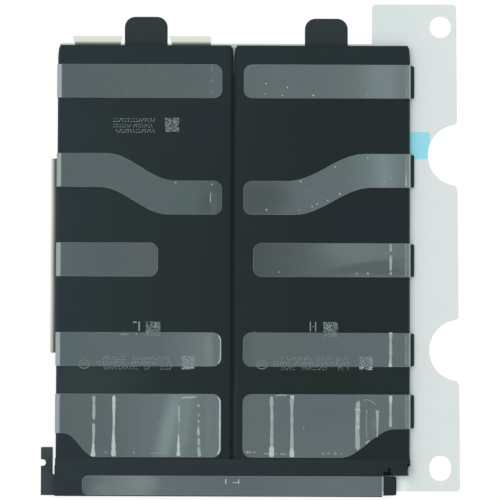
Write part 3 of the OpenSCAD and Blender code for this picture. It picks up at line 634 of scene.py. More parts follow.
# %% Board
board_low, board_high = span("protection_board")
resist = Finish("board_mask", "3a4547", rough=0.5, specular=0.12)
resist.patch("3f4a4c", (board_low.x + 2, board_high.y - 1), (4, 3), 0.8)
resist.patch("333f42", (board_low.x + 2, board_high.y - 5.5), (5, 3), 0.8)
tracks = add(resist.tree, "ShaderNodeTexWave", {"wave_type": "BANDS", "bands_direction": "X"}, {
    "Vector": resist.point, "Scale": 0.55, "Distortion": 0.0})
raised = calc(resist.tree, "GREATER_THAN", tracks.outputs["Fac"], 0.6)
resist.bump(raised, 0.02)
resist.grain(0.35, 0.07, bump=0.008)
resist.dust("68767a", 2.0, 0.09, 0.3, 0.6)
dress(resist.done(), "protection_board")
print("board dressed")

# %% Metal
def sheet_metal(name, tone, stretch, rough):
    """Brushed sheet metal with a grain along one direction."""
    made = Finish(name, tone, rough=rough, metal=1.0, specular=0.5)
    made.grain(0.25, 0.10, bump=0.004, stretch=stretch, roughen=0.08)
    made.dust("6f7270", 1.5, 0.06, 0.3, 0.4)
    return made.done()


dress(sheet_metal("contact_gold", "d3b257", (1, 0.2, 1), 0.28), "connector_contacts")
dress(sheet_metal("nickel_plate", "b9b9b2", (0.2, 1, 1), 0.35), "weld_plates")
dress(sheet_metal("aluminium_tab", "c9ccd0", (1, 0.15, 1), 0.32), "left_positive_tab", "right_positive_tab")
dress(sheet_metal("nickel_tab", "b9bcb6", (1, 0.15, 1), 0.36), "left_negative_tab", "right_negative_tab")
print("metal dressed")

# %% Chips and small components
# The share of a small component's length that each tinned end takes.
CAP_SHARE = 0.22


def moulded(name, tone):
    """Moulded resin body with a dull grain."""
    made = Finish(name, tone, rough=0.6, specular=0.25)
    made.grain(0.12, 0.12, bump=0.006, roughen=0.06)
    return made.done()


def capped(name, tone, node):
    """Ceramic body whose two ends along Y are tinned."""
    low, high = span(node)
    cap = (high.y - low.y) * CAP_SHARE
    made = Finish(name, tone, rough=0.45, specular=0.3)
    made.band("c4c6c4", "Y", low.y, 2 * cap, rim=0.02)
    made.band("c4c6c4", "Y", high.y, 2 * cap, rim=0.02)
    made.grain(0.15, 0.06, bump=0.004)
    return made.done()


dress(moulded("chip_body", "232527"), "protection_mosfets", "protection_chip", "fuel_gauge_chip")
dress(moulded("resistor_body", "2b2a28"), "sense_resistor")
dress(moulded("fuse_body", "8d8f88"), "thermal_fuse")
dress(capped("thermistor_body", "4f4338", "thermistor"), "thermistor")
dress(capped("capacitor_body", "a58e6a", "capacitors"), "capacitors")


def undressed(piece):
    """True for a CAD piece that still has its plain material."""
    slots = piece.material_slots
    return not slots or not slots[0].material.use_nodes


print("nodes without a finish", [name for name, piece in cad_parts.items() if undressed(piece)])

# %% [markdown]
# ## Growing small repeated things
# Ink dashes, code squares, air channels and specks repeat, so Geometry Nodes make them. A tree ends
# in Realize Instances and Set Material. The growing helper runs a tree once for each set of inputs,
# turns each result into a plain mesh, and joins them into one piece. The piece then rides on the
# pack and carries its finish.

# %% A finished piece
def new_piece(name, source, material):
    """A finished piece at the origin, from a bmesh."""
    mesh = bpy.data.meshes.new(name)
    source.to_mesh(mesh)
    source.free()
    mesh.materials.clear()
    mesh.materials.append(material)
    for face in mesh.polygons:
        face.material_index = 0
    piece = bpy.data.objects.new(name, mesh)
    bpy.context.scene.collection.objects.link(piece)
    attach(piece, "root")
    print(name, len(mesh.polygons), "faces")
    return piece


print("pieces ride on root")

# %% Growing helper
def line_mesh(points):
    """A loose line through points in millimetres, or a loose point where there is just one."""
    mesh = bpy.data.meshes.new("start")
    edges = [(i, i + 1) for i in range(len(points) - 1)]
    mesh.from_pydata([Vector(p) * MM for p in points], edges, [])
    return mesh


def grow(name, tree, runs, material, starts=None):
    """Runs a geometry tree once for each set of inputs and joins the results."""
    keys = {item.name: item.identifier for item in tree.interface.items_tree if item.in_out == "INPUT"}
    joined = bmesh.new()
    for number, run in enumerate(runs):
        carrier = bpy.data.objects.new("carrier", starts[number] if starts else line_mesh([]))
        bpy.context.scene.collection.objects.link(carrier)
        modifier = carrier.modifiers.new("grow", "NODES")
        modifier.node_group = tree
        for label, value in {**run, "Material": material}.items():
            modifier[keys[label]] = value
        ready = carrier.evaluated_get(bpy.context.evaluated_depsgraph_get())
        result = bpy.data.meshes.new_from_object(ready)
        joined.from_mesh(result)
        bpy.data.objects.remove(carrier)
        bpy.data.meshes.remove(result)
    return new_piece(name, joined, material)


print("growing helper ready")

# %% Start and end of a geometry tree
GEO, SHAPE = "GeometryNodeTree", "NodeSocketGeometry"
MATERIAL_IN = ("Material", "NodeSocketMaterial", None)


def tree_join(tree, parts):
    """Joins several geometries."""
    made = tree.nodes.new("GeometryNodeJoinGeometry")
    for part in parts:
        tree.links.new(part, made.inputs[0])
    return made.outputs[0]


def close_tree(tree, geometry, material, out):
    """Ends a geometry tree: instances become real, and the finish is set."""
    real = add(tree, "GeometryNodeRealizeInstances", None, {0: geometry})
    done = add(tree, "GeometryNodeSetMaterial", None, {"Geometry": real.outputs[0], "Material": material})
    feed(tree, out["Geometry"], done.outputs[0])


print("tree ends ready")

# %% [markdown]
# ## Ink on the cells
# The marks on the cells are rows of tiny ticks and dashes, small square codes, a ring and a few bars.
# A sign is two small bars, chosen at random from four kinds, and a code square is a random pattern,
# both with a fixed seed. Ink is a film of about a hundredth of a millimetre, so each mark is a very
# flat box. Marks under a strip have a lighter ink, because the film takes away half of their light.

# %% Ink finish
def ink(name, tone):
    """Matte ink with a slightly uneven tone."""
    made = Finish(name, tone, rough=0.7, specular=0.05)
    made.grain(0.25, 0.15, bump=0.002)
    return made.done()


INK = ink("cell_ink", "879394")
INK_UNDER_FILM = ink("cell_ink_under_film", "b9c5c5")
INK_T = 0.01
print("ink", INK_T, "mm thick")

# %% Tree for a row of ticks
row_tree, r_in, r_out = new_group(
    "ink row", GEO,
    [("Corner", VECTOR, (0, 0, 0)), ("Length", FLOAT, 0.01), ("Height", FLOAT, 0.001),
     ("Marks", COUNT, 10), ("Seed", COUNT, 1), MATERIAL_IN],
    [("Geometry", SHAPE)])
pitch = calc(row_tree, "DIVIDE", r_in["Length"], r_in["Marks"])
row = add(row_tree, "GeometryNodeMeshLine", None, {
    "Count": r_in["Marks"], "Start Location": r_in["Corner"], "Offset": vector_of(row_tree, pitch)})


def ink_bar(x, y, w, h):
    """A flat bar of a sign, in parts of the sign's width and height."""
    box = add(row_tree, "GeometryNodeMeshCube", None, {"Size": (w, h, 1.0)})
    moved = add(row_tree, "GeometryNodeTransform", None, {
        "Geometry": box.outputs[0], "Translation": (x + w / 2, y + h / 2, 0.5)})
    return moved.outputs[0]


def ink_sign(*bars):
    """Bars joined into one sign."""
    joined = tree_join(row_tree, [ink_bar(*bar) for bar in bars])
    return add(row_tree, "GeometryNodeGeometryToInstance", None, {0: joined}).outputs[0]


# Bars of each sign: left, bottom, width and height.
SIGNS = [
    ((0.1, 0.05, 0.2, 0.5), (0.55, 0.45, 0.2, 0.5)),
    ((0.1, 0.75, 0.6, 0.16), (0.3, 0.1, 0.2, 0.4)),
    ((0.1, 0.1, 0.6, 0.16), (0.1, 0.75, 0.35, 0.16)),
    ((0.1, 0.42, 0.2, 0.5), (0.5, 0.1, 0.25, 0.18)),
]
signs = tree_join(row_tree, [ink_sign(*bars) for bars in SIGNS])
kept = add(row_tree, "FunctionNodeRandomValue", {"data_type": "BOOLEAN"}, {
    "Probability": 0.9, "Seed": r_in["Seed"]})
# Random Value has a pair of sockets for each type of data; 4 and 5 are the whole numbers' pair. The
# seed is shifted, so that this draw is a different one from the draw above.
choice = add(row_tree, "FunctionNodeRandomValue", {"data_type": "INT"}, {
    4: 0, 5: len(SIGNS) - 1, "Seed": calc(row_tree, "ADD", r_in["Seed"], 7)})
signs_set = add(row_tree, "GeometryNodeInstanceOnPoints", None, {
    "Points": row.outputs[0], "Selection": kept.outputs[3], "Instance": signs, "Pick Instance": True,
    "Instance Index": choice.outputs[2], "Scale": vector_of(row_tree, pitch, r_in["Height"], INK_T * MM)})
close_tree(row_tree, signs_set.outputs[0], r_in["Material"], r_out)
print(row_tree.name)

# %% Tree for a code square
code_tree, c_in, c_out = new_group(
    "code square", GEO,
    [("Centre", VECTOR, (0, 0, 0)), ("Side", FLOAT, 0.005), ("Cells", COUNT, 20),
     ("Fill", FLOAT, 0.5), ("Seed", COUNT, 1), MATERIAL_IN],
    [("Geometry", SHAPE)])
square = calc(code_tree, "DIVIDE", c_in["Side"], c_in["Cells"])
grid_side = calc(code_tree, "SUBTRACT", c_in["Side"], square)
grid = add(code_tree, "GeometryNodeMeshGrid", None, {
    "Size X": grid_side, "Size Y": grid_side, "Vertices X": c_in["Cells"], "Vertices Y": c_in["Cells"]})
placed = add(code_tree, "GeometryNodeTransform", None, {
    "Geometry": grid.outputs[0], "Translation": c_in["Centre"]})
filled = add(code_tree, "FunctionNodeRandomValue", {"data_type": "BOOLEAN"}, {
    "Probability": c_in["Fill"], "Seed": c_in["Seed"]})
dot = add(code_tree, "GeometryNodeMeshCube", None, {"Size": (1.0, 1.0, 1.0)})
dots = add(code_tree, "GeometryNodeInstanceOnPoints", None, {
    "Points": placed.outputs[0], "Selection": filled.outputs[3], "Instance": dot.outputs[0],
    "Scale": vector_of(code_tree, square, square, INK_T * MM)})
close_tree(code_tree, dots.outputs[0], c_in["Material"], c_out)
print(code_tree.name)

# %% Ink rows and codes
# Rows: right, down, length, height, number of signs.
FILM_ROWS = [(15.7, 105.4, 22.3, 1.2, 23), (13.4, 107.0, 25.4, 1.3, 26)]
SHARED_ROWS = [(15.8, 108.6, 15.6, 1.2, 16), (34.7, 108.6, 4.1, 1.2, 4)]
LEFT_ROWS = [(18.6, 26.1, 14.2, 1.45, 15), (18.6, 27.9, 14.2, 1.3, 19), (18.6, 29.7, 14.2, 1.4, 15)]
# Codes: middle right, middle down, side, squares along a side.
FILM_CODES = [(44.1, 106.2, 4.4, 20)]
SHARED_CODES = [(32.3, 95.0, 4.8, 22)]
LEFT_CODES = [(38.3, 26.9, 4.7, 22)]
CODE_FILL = 0.46


def ink_runs(cell, rows, seed):
    """Inputs for the rows of one cell."""
    return [{"Corner": on_cell(cell, right, down) * MM, "Length": length * MM, "Height": height * MM,
             "Marks": marks, "Seed": seed + i}
            for i, (right, down, length, height, marks) in enumerate(rows)]


def code_runs(cell, codes, seed):
    """Inputs for the codes of one cell."""
    return [{"Centre": on_cell(cell, right, down) * MM, "Side": side * MM, "Cells": cells,
             "Fill": CODE_FILL, "Seed": seed + i}
            for i, (right, down, side, cells) in enumerate(codes)]


grow("left_cell_ink_rows", row_tree, ink_runs("left_cell", SHARED_ROWS + LEFT_ROWS, 11), INK)
grow("right_cell_ink_rows", row_tree, ink_runs("right_cell", SHARED_ROWS, 31), INK)
grow("left_cell_codes", code_tree, code_runs("left_cell", SHARED_CODES + LEFT_CODES, 3), INK)
grow("right_cell_codes", code_tree, code_runs("right_cell", SHARED_CODES, 8), INK)
for cell, row_seed, code_seed in (("left_cell", 51, 71), ("right_cell", 61, 72)):
    rows = ink_runs(cell, FILM_ROWS, row_seed)
    grow(cell + "_film_rows", row_tree, rows, INK_UNDER_FILM)
    codes = code_runs(cell, FILM_CODES, code_seed)
    grow(cell + "_film_code", code_tree, codes, INK_UNDER_FILM)

# %% [markdown]
# Each cell also has two or three bars near its middle, and beside the rows an oval ring that is
# filled with fine bars. These are few and simple, so they are drawn straight into a mesh.

# %% Side marks and rings
def flat_box(target, corner, size):
    """A very flat box of ink; corner and size in millimetres."""
    centre = (corner + Vector((size[0] / 2, size[1] / 2, INK_T / 2))) * MM
    scale = Matrix.Diagonal((size[0] * MM, size[1] * MM, INK_T * MM, 1))
    bmesh.ops.create_cube(target, size=1.0, matrix=Matrix.Translation(centre) @ scale)


def flat_ring(target, centre, radii, width, steps=48):
    """A very flat oval band of ink; sizes in millimetres."""
    loops = []
    for inward, z in ((0, 0), (0, INK_T), (width, INK_T), (width, 0)):
        loops.append([target.verts.new((centre + Vector((
            (radii[0] - inward) * math.cos(2 * math.pi * i / steps),
            (radii[1] - inward) * math.sin(2 * math.pi * i / steps), z))) * MM) for i in range(steps)])
    for a, b in zip(loops, loops[1:] + loops[:1]):
        for i in range(steps):
            j = (i + 1) % steps
            target.faces.new((a[i], a[j], b[j], b[i]))


# Places as right and down on the cell, sizes as width and height.
MARK_FOOT = (25.4, 95.7)
RING_MIDDLE = (9.5, 106.8)
RING_RADII = (1.9, 1.5)
RING_WIDTH = 0.22
RING_BAR = (0.2, 1.4)
RING_BARS_LEFT = [-1.1 + 0.45 * i for i in range(5)]


def side_mark(cell, bars):
    """Bars near the middle, and a ring with fine bars beside the rows."""
    target = bmesh.new()
    foot = on_cell(cell, *MARK_FOOT)
    for right, up, w, h in bars:
        flat_box(target, foot + Vector((right, up, 0)), (w, h))
    middle = on_cell(cell, *RING_MIDDLE)
    flat_ring(target, middle, RING_RADII, RING_WIDTH)
    for left in RING_BARS_LEFT:
        flat_box(target, middle + Vector((left, -RING_BAR[1] / 2, 0)), RING_BAR)
    bmesh.ops.recalc_face_normals(target, faces=target.faces)
    new_piece(cell + "_side_mark", target, INK)


# Each bar: right and up from the foot, width, height.
side_mark("left_cell", [(2.05, 0, 0.5, 3.1), (0.3, 2.65, 1.2, 0.45)])
side_mark("right_cell", [(0.0, 0, 0.35, 3.2), (1.75, 0, 0.35, 3.2), (0.9, 1.45, 0.35, 0.35)])

# %% [markdown]
# ## Air under the film
# Where a strip was rolled down, air stayed in long thin channels across it, and specks of dust lie
# along its edges. A painted line would look flat from the side, so each channel is a thin mesh. It
# follows a line of a few points, wanders a little, grows from one width to another, swells and thins
# by noise, breaks up where the noise is low, and is pressed flat. A speck is a flattened bead: one
# tree puts a number of them round each given point. The edge tree runs a fine wire along an outline.

# %% Film details finish
def adhesive(name, tone, size, amount):
    """Milky adhesive with an uneven tone."""
    made = Finish(name, tone, rough=0.45, specular=0.25)
    made.grain(size, amount, bump=0.005)
    return made.done()


EDGE = adhesive("film_edge", "76838a", 1.5, 0.10)
AIR = adhesive("trapped_air", "98a6a6", 0.6, 0.14)
BRIGHT = adhesive("bright_air", "b3c0c0", 0.5, 0.10)
FAINT = adhesive("faint_air_and_glint", "7d8a8b", 0.5, 0.12)
print("adhesive finishes", [material.name for material in (EDGE, AIR, BRIGHT, FAINT)])

# %% Air channel: its line
CHANNEL_POINTS = 56

air_tree, a_in, a_out = new_group(
    "air channel", GEO,
    [("Geometry", SHAPE, None), ("Width", FLOAT, 0.0008), ("End Width", FLOAT, 0.0008),
     ("Gaps", FLOAT, 0.2), ("Wander", FLOAT, 0.35), ("Flatness", FLOAT, 0.06), ("Seed", FLOAT, 1.0),
     MATERIAL_IN],
    [("Geometry", SHAPE)])
path = add(air_tree, "GeometryNodeMeshToCurve", None, {0: a_in["Geometry"]})
fine = add(air_tree, "GeometryNodeResampleCurve", None, {
    "Curve": path.outputs[0], "Count": CHANNEL_POINTS})
here = add(air_tree, "GeometryNodeInputPosition").outputs[0]


def air_noise(size_mm, shift):
    """Noise between 0 and 1 along the curve."""
    made = add(air_tree, "ShaderNodeTexNoise", {"noise_dimensions": "4D"}, {
        "Vector": here, "W": calc(air_tree, "ADD", a_in["Seed"], shift), "Scale": 1 / (size_mm * MM),
        "Detail": 2.0})
    return made.outputs["Fac"]


sway = calc(air_tree, "MULTIPLY", calc(air_tree, "SUBTRACT", air_noise(6, 0.0), 0.5),
            calc(air_tree, "MULTIPLY", a_in["Width"], a_in["Wander"]))
sway_offset = vector_of(air_tree, sway, calc(air_tree, "MULTIPLY", sway, 0.5))
wandering = add(air_tree, "GeometryNodeSetPosition", None, {
    "Geometry": fine.outputs[0], "Offset": sway_offset})
print("points on a channel", CHANNEL_POINTS)

# %% Air channel: its width
# The smallest radius in metres: where a channel is broken up, a thread too fine to see is left.
THREAD = 0.00001
# A channel swells and thins between these shares of its width.
SWELL = (0.6, 1.05)

swell = remap(air_tree, air_noise(1.6, 5.0), 0.3, 0.7, SWELL)
shut = calc(air_tree, "SUBTRACT", a_in["Gaps"], 0.03)
open_full = calc(air_tree, "ADD", a_in["Gaps"], 0.05)
open_here = remap(air_tree, air_noise(2.2, 9.0), shut, open_full, soft=True)
along = add(air_tree, "GeometryNodeSplineParameter").outputs["Factor"]
from_middle = calc(air_tree, "ABSOLUTE", calc(air_tree, "SUBTRACT", along, 0.5))
# The last twentieth of a channel narrows to a round end.
round_ends = remap(air_tree, from_middle, 0.5, 0.45, soft=True)
wide = remap(air_tree, along, 0.0, 1.0, (a_in["Width"], a_in["End Width"]))
half_wide = calc(air_tree, "DIVIDE", wide, 2.0)
radius = calc(air_tree, "MULTIPLY", calc(air_tree, "MULTIPLY", swell, open_here),
              calc(air_tree, "MULTIPLY", round_ends, half_wide))
print("finest thread", THREAD / MM, "mm")

# %% Air channel: its flat body
profile = add(air_tree, "GeometryNodeCurvePrimitiveCircle", None, {"Resolution": 8, "Radius": 1.0})
tube = add(air_tree, "GeometryNodeCurveToMesh", None, {
    "Curve": wandering.outputs[0], "Profile Curve": profile.outputs[0], "Fill Caps": True,
    "Scale": calc(air_tree, "MAXIMUM", radius, THREAD)})
level = add(air_tree, "GeometryNodeSampleIndex", {"data_type": "FLOAT_VECTOR"}, {
    "Geometry": a_in["Geometry"], "Value": here, "Index": 0})
height = calc(air_tree, "SUBTRACT", part_of(air_tree, here, "Z"), part_of(air_tree, level.outputs[0], "Z"))
sunk = calc(air_tree, "MULTIPLY", height, calc(air_tree, "SUBTRACT", a_in["Flatness"], 1.0))
pressed = add(air_tree, "GeometryNodeSetPosition", None, {
    "Geometry": tube.outputs[0], "Offset": vector_of(air_tree, z=sunk)})
close_tree(air_tree, pressed.outputs[0], a_in["Material"], a_out)
print(air_tree.name)

# %% Tree for specks
# A bead's size across and up, as shares of its size along.
BEAD_ACROSS, BEAD_UP = 0.85, 0.12

speck_tree, s_in, s_out = new_group(
    "specks", GEO,
    [("Geometry", SHAPE, None), ("Copies", COUNT, 1), ("Spread", VECTOR, (0, 0, 0)),
     ("Radius", FLOAT, 0.0003), ("Seed", COUNT, 1), MATERIAL_IN],
    [("Geometry", SHAPE)])
copies = add(speck_tree, "GeometryNodeDuplicateElements", {"domain": "POINT"}, {
    "Geometry": s_in["Geometry"], "Amount": s_in["Copies"]})
spread_low = vector_calc(speck_tree, "MULTIPLY", s_in["Spread"], (-1, -1, -1))
# Of Random Value's sockets, 0 and 1 are the vectors' pair, and 2 and 3 the plain numbers' pair.
jitter = add(speck_tree, "FunctionNodeRandomValue", {"data_type": "FLOAT_VECTOR"}, {
    0: spread_low, 1: s_in["Spread"], "Seed": s_in["Seed"]})
points = add(speck_tree, "GeometryNodeSetPosition", None, {
    "Geometry": copies.outputs[0], "Offset": jitter.outputs[0]})
bead = add(speck_tree, "GeometryNodeMeshIcoSphere", None, {"Radius": 1.0, "Subdivisions": 1})
size = add(speck_tree, "FunctionNodeRandomValue", {"data_type": "FLOAT"}, {
    2: 0.6, 3: 1.0, "Seed": calc(speck_tree, "ADD", s_in["Seed"], 3)})
bead_x = calc(speck_tree, "MULTIPLY", size.outputs[1], s_in["Radius"])
bead_y = calc(speck_tree, "MULTIPLY", bead_x, BEAD_ACROSS)
bead_z = calc(speck_tree, "MULTIPLY", bead_x, BEAD_UP)
specks = add(speck_tree, "GeometryNodeInstanceOnPoints", None, {
    "Points": points.outputs[0], "Instance": bead.outputs[0],
    "Scale": vector_of(speck_tree, bead_x, bead_y, bead_z)})
close_tree(speck_tree, specks.outputs[0], s_in["Material"], s_out)
print(speck_tree.name)

# %% Tree for a strip's edge
edge_tree, e_in, e_out = new_group(
    "film edge", GEO,
    [("Geometry", SHAPE, None), ("Radius", FLOAT, 0.0001), MATERIAL_IN],
    [("Geometry", SHAPE)])
outline = add(edge_tree, "GeometryNodeMeshToCurve", None, {0: e_in["Geometry"]})
round_wire = add(edge_tree, "GeometryNodeCurvePrimitiveCircle", None, {
    "Resolution": 6, "Radius": e_in["Radius"]})
wire = add(edge_tree, "GeometryNodeCurveToMesh", None, {
    "Curve": outline.outputs[0], "Profile Curve": round_wire.outputs[0]})
close_tree(edge_tree, wire.outputs[0], e_in["Material"], e_out)
print(edge_tree.name)

# %% [markdown]
# ## Edges of the strips
# The die-cut edge of each strip shows as a fine line of adhesive. It has to follow the strip
# exactly, so its outline comes from the CAD strip's own mesh: the edges that only one face of the
# flat upper side uses. The wire is sunk a little, so that only its top shows.

# %% Edges of the strips
EDGE_R = 0.06
EDGE_SINK = 0.8 * EDGE_R
# How far a corner of a flat face may be from the face's height, in millimetres.
FLATNESS = 0.003
# Corners closer than this are one corner, in metres.
SAME_CORNER = 1e-6


def top_outline(node, level):
    """The outline of a node's flat upper face, as loose edges just below that face."""
    work = bmesh.new()
    work.from_mesh(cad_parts[node].data)
    bmesh.ops.remove_doubles(work, verts=work.verts, dist=SAME_CORNER)
    flat_faces = [f for f in work.faces if all(abs(v.co.z / MM - level) < FLATNESS for v in f.verts)]
    rim_edges = [e for f in flat_faces for e in f.edges if sum(g in flat_faces for g in e.link_faces) == 1]
    verts, edges, known = [], [], {}
    for edge in rim_edges:
        for v in edge.verts:
            if v.index not in known:
                known[v.index] = len(verts)
                verts.append((v.co.x, v.co.y, (level - EDGE_SINK) * MM))
        edges.append([known[v.index] for v in edge.verts])
    work.free()
    mesh = bpy.data.meshes.new(node + "_outline")
    mesh.from_pydata(verts, edges, [])
    return mesh


for node in list(TONES) + ["front_strip"]:
    outline = top_outline(node, FRONT_STRIP_TOP if node == "front_strip" else STRIP_TOP)
    grow(node + "_edge", edge_tree, [{"Radius": EDGE_R * MM}], EDGE, [outline])

# %% [markdown]
# ## Lines of air channels
# The wide strips hold most of the channels, and the other strips a few short ones. Each channel is
# placed one by one, because air stays where the roller left it and not at random. A channel that
# brightens on its way is two or three lines on top of one another.

# %% Lines of air channels
# Each line: finish, width at its two ends, gaps, and its points as right and down on the cell.
LINES = {
    "left_cell": [
        ("air", 1.25, 1.15, 0.3, [(12.8, 117.2), (12.8, 125.3)]),
        ("air", 1.3, 0.9, 0.3, [(12.8, 126.3), (12.7, 134.0)]),
        ("bright", 0.9, 2.0, 0.0, [(12.7, 133.2), (12.6, 137.5)]),
        ("bright", 1.5, 0.9, 0.0, [(19.5, 117.0), (19.4, 128.2)]),
        ("air", 0.9, 1.1, 0.0, [(19.5, 126.4), (19.4, 137.3)]),
        ("bright", 0.7, 2.15, 0.0, [(19.4, 127.6), (19.4, 137.6)]),
        ("air", 1.0, 0.8, 0.35, [(41.0, 120.4), (41.1, 126.0)]),
        ("faint", 0.6, 0.6, 0.35, [(41.1, 125.5), (41.0, 131.5)]),
        ("bright", 0.6, 1.7, 0.0, [(41.0, 129.6), (41.0, 137.3)]),
        ("air", 0.8, 0.8, 0.1, [(41.7, 118.3), (42.6, 117.75), (46.9, 117.7)]),
        ("air", 1.15, 1.1, 0.49, [(47.6, 119.6), (47.7, 137.2)]),
        ("air", 0.8, 1.4, 0.1, [(47.8, 134.0), (48.0, 137.4)]),
        ("faint", 0.5, 0.5, 0.1, [(31.6, 136.3), (38.2, 136.0)]),
        ("faint", 0.4, 0.4, 0.0, [(51.6, 11.6), (51.6, 12.6)]),
        ("faint", 0.4, 0.4, 0.0, [(51.5, 15.6), (51.5, 16.4)]),
        ("faint", 0.4, 0.4, 0.0, [(51.6, 7.2), (51.6, 9.0)]),
        ("air", 0.3, 0.45, 0.0, [(51.3, 49.6), (51.2, 52.8)]),
        ("faint", 0.5, 0.5, 0.3, [(21.4, 96.8), (24.4, 96.9)]),
    ],
    "right_cell": [
        ("air", 1.5, 1.4, 0.0, [(12.8, 117.2), (12.9, 126.5)]),
        ("air", 1.35, 1.5, 0.0, [(12.9, 126.0), (12.8, 137.3)]),
        ("bright", 0.6, 2.5, 0.0, [(12.8, 130.8), (12.8, 137.5)]),
        ("air", 1.45, 1.3, 0.0, [(19.5, 117.2), (19.5, 137.3)]),
        ("bright", 1.8, 0.8, 0.0, [(19.6, 116.9), (19.6, 121.0)]),
        ("bright", 0.5, 2.3, 0.0, [(19.5, 132.2), (19.5, 137.5)]),
        ("air", 0.5, 0.5, 0.0, [(14.2, 117.2), (15.5, 116.9), (17.8, 117.0)]),
        ("air", 1.9, 1.9, 0.0, [(42.0, 118.5), (41.5, 119.8), (41.3, 121.5), (41.3, 135.2)]),
        ("spot", 0.8, 0.8, 0.0, [(40.5, 121.6), (42.2, 121.6)]),
        ("spot", 1.0, 0.8, 0.0, [(41.2, 123.4), (41.4, 125.8)]),
        ("spot", 0.9, 0.8, 0.0, [(40.8, 127.5), (41.9, 127.5)]),
        ("faint", 0.6, 0.5, 0.0, [(43.3, 118.8), (44.3, 118.2), (45.4, 118.6), (47.5, 120.0)]),
        ("faint", 0.6, 0.6, 0.1, [(44.3, 121.6), (44.3, 123.2)]),
        ("faint", 0.4, 0.4, 0.2, [(44.3, 123.0), (44.3, 131.0)]),
        ("air", 0.7, 0.7, 0.1, [(44.0, 132.8), (45.2, 131.8)]),
        ("air", 1.4, 1.1, 0.0, [(47.9, 121.8), (47.9, 124.6)]),
        ("air", 0.9, 0.7, 0.0, [(47.9, 124.0), (47.9, 130.8)]),
        ("bright", 1.6, 0.9, 0.0, [(52.3, 116.9), (52.3, 120.4)]),
        ("air", 1.1, 1.25, 0.40, [(52.3, 118.6), (52.3, 127.6)]),
        ("air", 1.2, 1.15, 0.1, [(52.3, 96.0), (52.3, 107.4)]),
        ("bright", 1.4, 0.6, 0.0, [(52.3, 95.9), (52.3, 99.2)]),
        ("bright", 0.7, 1.4, 0.0, [(52.2, 103.6), (52.2, 107.4)]),
        ("air", 1.1, 1.1, 0.40, [(52.3, 66.3), (52.3, 77.2)]),
        ("faint", 0.5, 0.5, 0.35, [(57.3, 66.3), (57.3, 77.1)]),
        ("faint", 0.5, 0.5, 0.1, [(57.5, 37.2), (57.4, 47.2)]),
        ("air", 0.5, 1.1, 0.1, [(57.4, 43.4), (57.4, 47.2)]),
        ("faint", 0.45, 0.45, 0.46, [(57.4, 96.2), (57.4, 107.2)]),
        ("faint", 0.45, 0.45, 0.3, [(57.4, 117.1), (57.4, 127.6)]),
        ("faint", 0.4, 0.4, 0.2, [(57.4, 14.6), (57.4, 17.2)]),
    ],
}
FINISHES = {"air": AIR, "bright": BRIGHT, "faint": FAINT, "spot": BRIGHT}
# Spots lie on the crest of a channel, so they start a little higher.
SPOT_LIFT = 0.045


def grow_lines(name, kind, lines, level):
    """Grows lines of one finish; each line is its two widths, gaps, and points in millimetres."""
    runs = [{"Width": wide * MM, "End Width": end * MM, "Gaps": gaps, "Seed": 3.7 * i}
            for i, (wide, end, gaps, _) in enumerate(lines)]
    starts = [line_mesh([(x, y, level) for x, y in points]) for *_, points in lines]
    return grow(name, air_tree, runs, FINISHES[kind], starts)


for cell in CELLS:
    for kind in FINISHES:
        chosen = [(wide, end, gaps, [on_cell(cell, *place).to_2d() for place in places])
                  for sort, wide, end, gaps, places in LINES[cell] if sort == kind]
        if chosen:
            lift = SPOT_LIFT if kind == "spot" else 0
            grow_lines("%s_%s_lines" % (cell, kind), kind, chosen, STRIP_TOP + lift)

FRONT_LINES = [(0.5, 0.6, 0.0, [(56.7, 144.7), (56.7, 146.2)]),
               (0.5, 0.5, 0.0, [(61.0, 144.8), (61.0, 146.3)]),
               (0.25, 0.25, 0.0, [(58.9, 145.9), (60.9, 145.9)])]
grow_lines("front_strip_air_lines", "bright", [
    (wide, end, gaps, [on_cell("left_cell", *place).to_2d() for place in places])
    for wide, end, gaps, places in FRONT_LINES], FRONT_STRIP_TOP)

# %% [markdown]
# ## Bright ends
# The inner ends of the two lowest left strips have lifted a little, so air shines along them. The
# line follows the strip's rounded end: part of one corner, the straight stretch, part of the other.

# %% Bright ends of two strips
# The corner radius of a strip's inner end, and the steps in which a line goes round it.
END_R = 2.8
CORNER_STEPS = 5


def end_path(node, inset, turn):
    """A line along a strip's inner end: part of one corner, the straight end, part of the other."""
    low, high = span(node)
    mid_x, mid_low, mid_high = high.x - END_R, low.y + END_R, high.y - END_R
    angles = [math.radians(turn * (1 - i / CORNER_STEPS)) for i in range(CORNER_STEPS + 1)]
    lower = [(mid_x + (END_R - inset) * math.cos(a), mid_low - (END_R - inset) * math.sin(a)) for a in angles]
    upper = [(x, mid_low + mid_high - y) for x, y in reversed(lower)]
    return lower + upper


grow_lines("left_strip_end_lines", "bright", [
    (0.62, 0.62, 0.0, end_path("left_strip_5", 0.32, 55)),
    (0.40, 0.40, 0.0, end_path("left_strip_4", 0.22, 50))], STRIP_TOP)

# %% [markdown]
# Beside the right cell the tape has a frayed edge with a glint along it. The glint is a painted
# highlight: a fine pale line that the channel tree makes too, with the faint finish and a small width.

# %% Painted glint on the frayed edge of the wrap
wrap_edge = [on_cell("right_cell", right, down).to_2d() for right, down in
             ((58.25, 140.9), (58.1, 141.8), (58.2, 142.6), (58.05, 143.3))]
grow_lines("frayed_edge_glint", "faint", [(0.3, 0.3, 0.2, wrap_edge)], wrap_high.z)
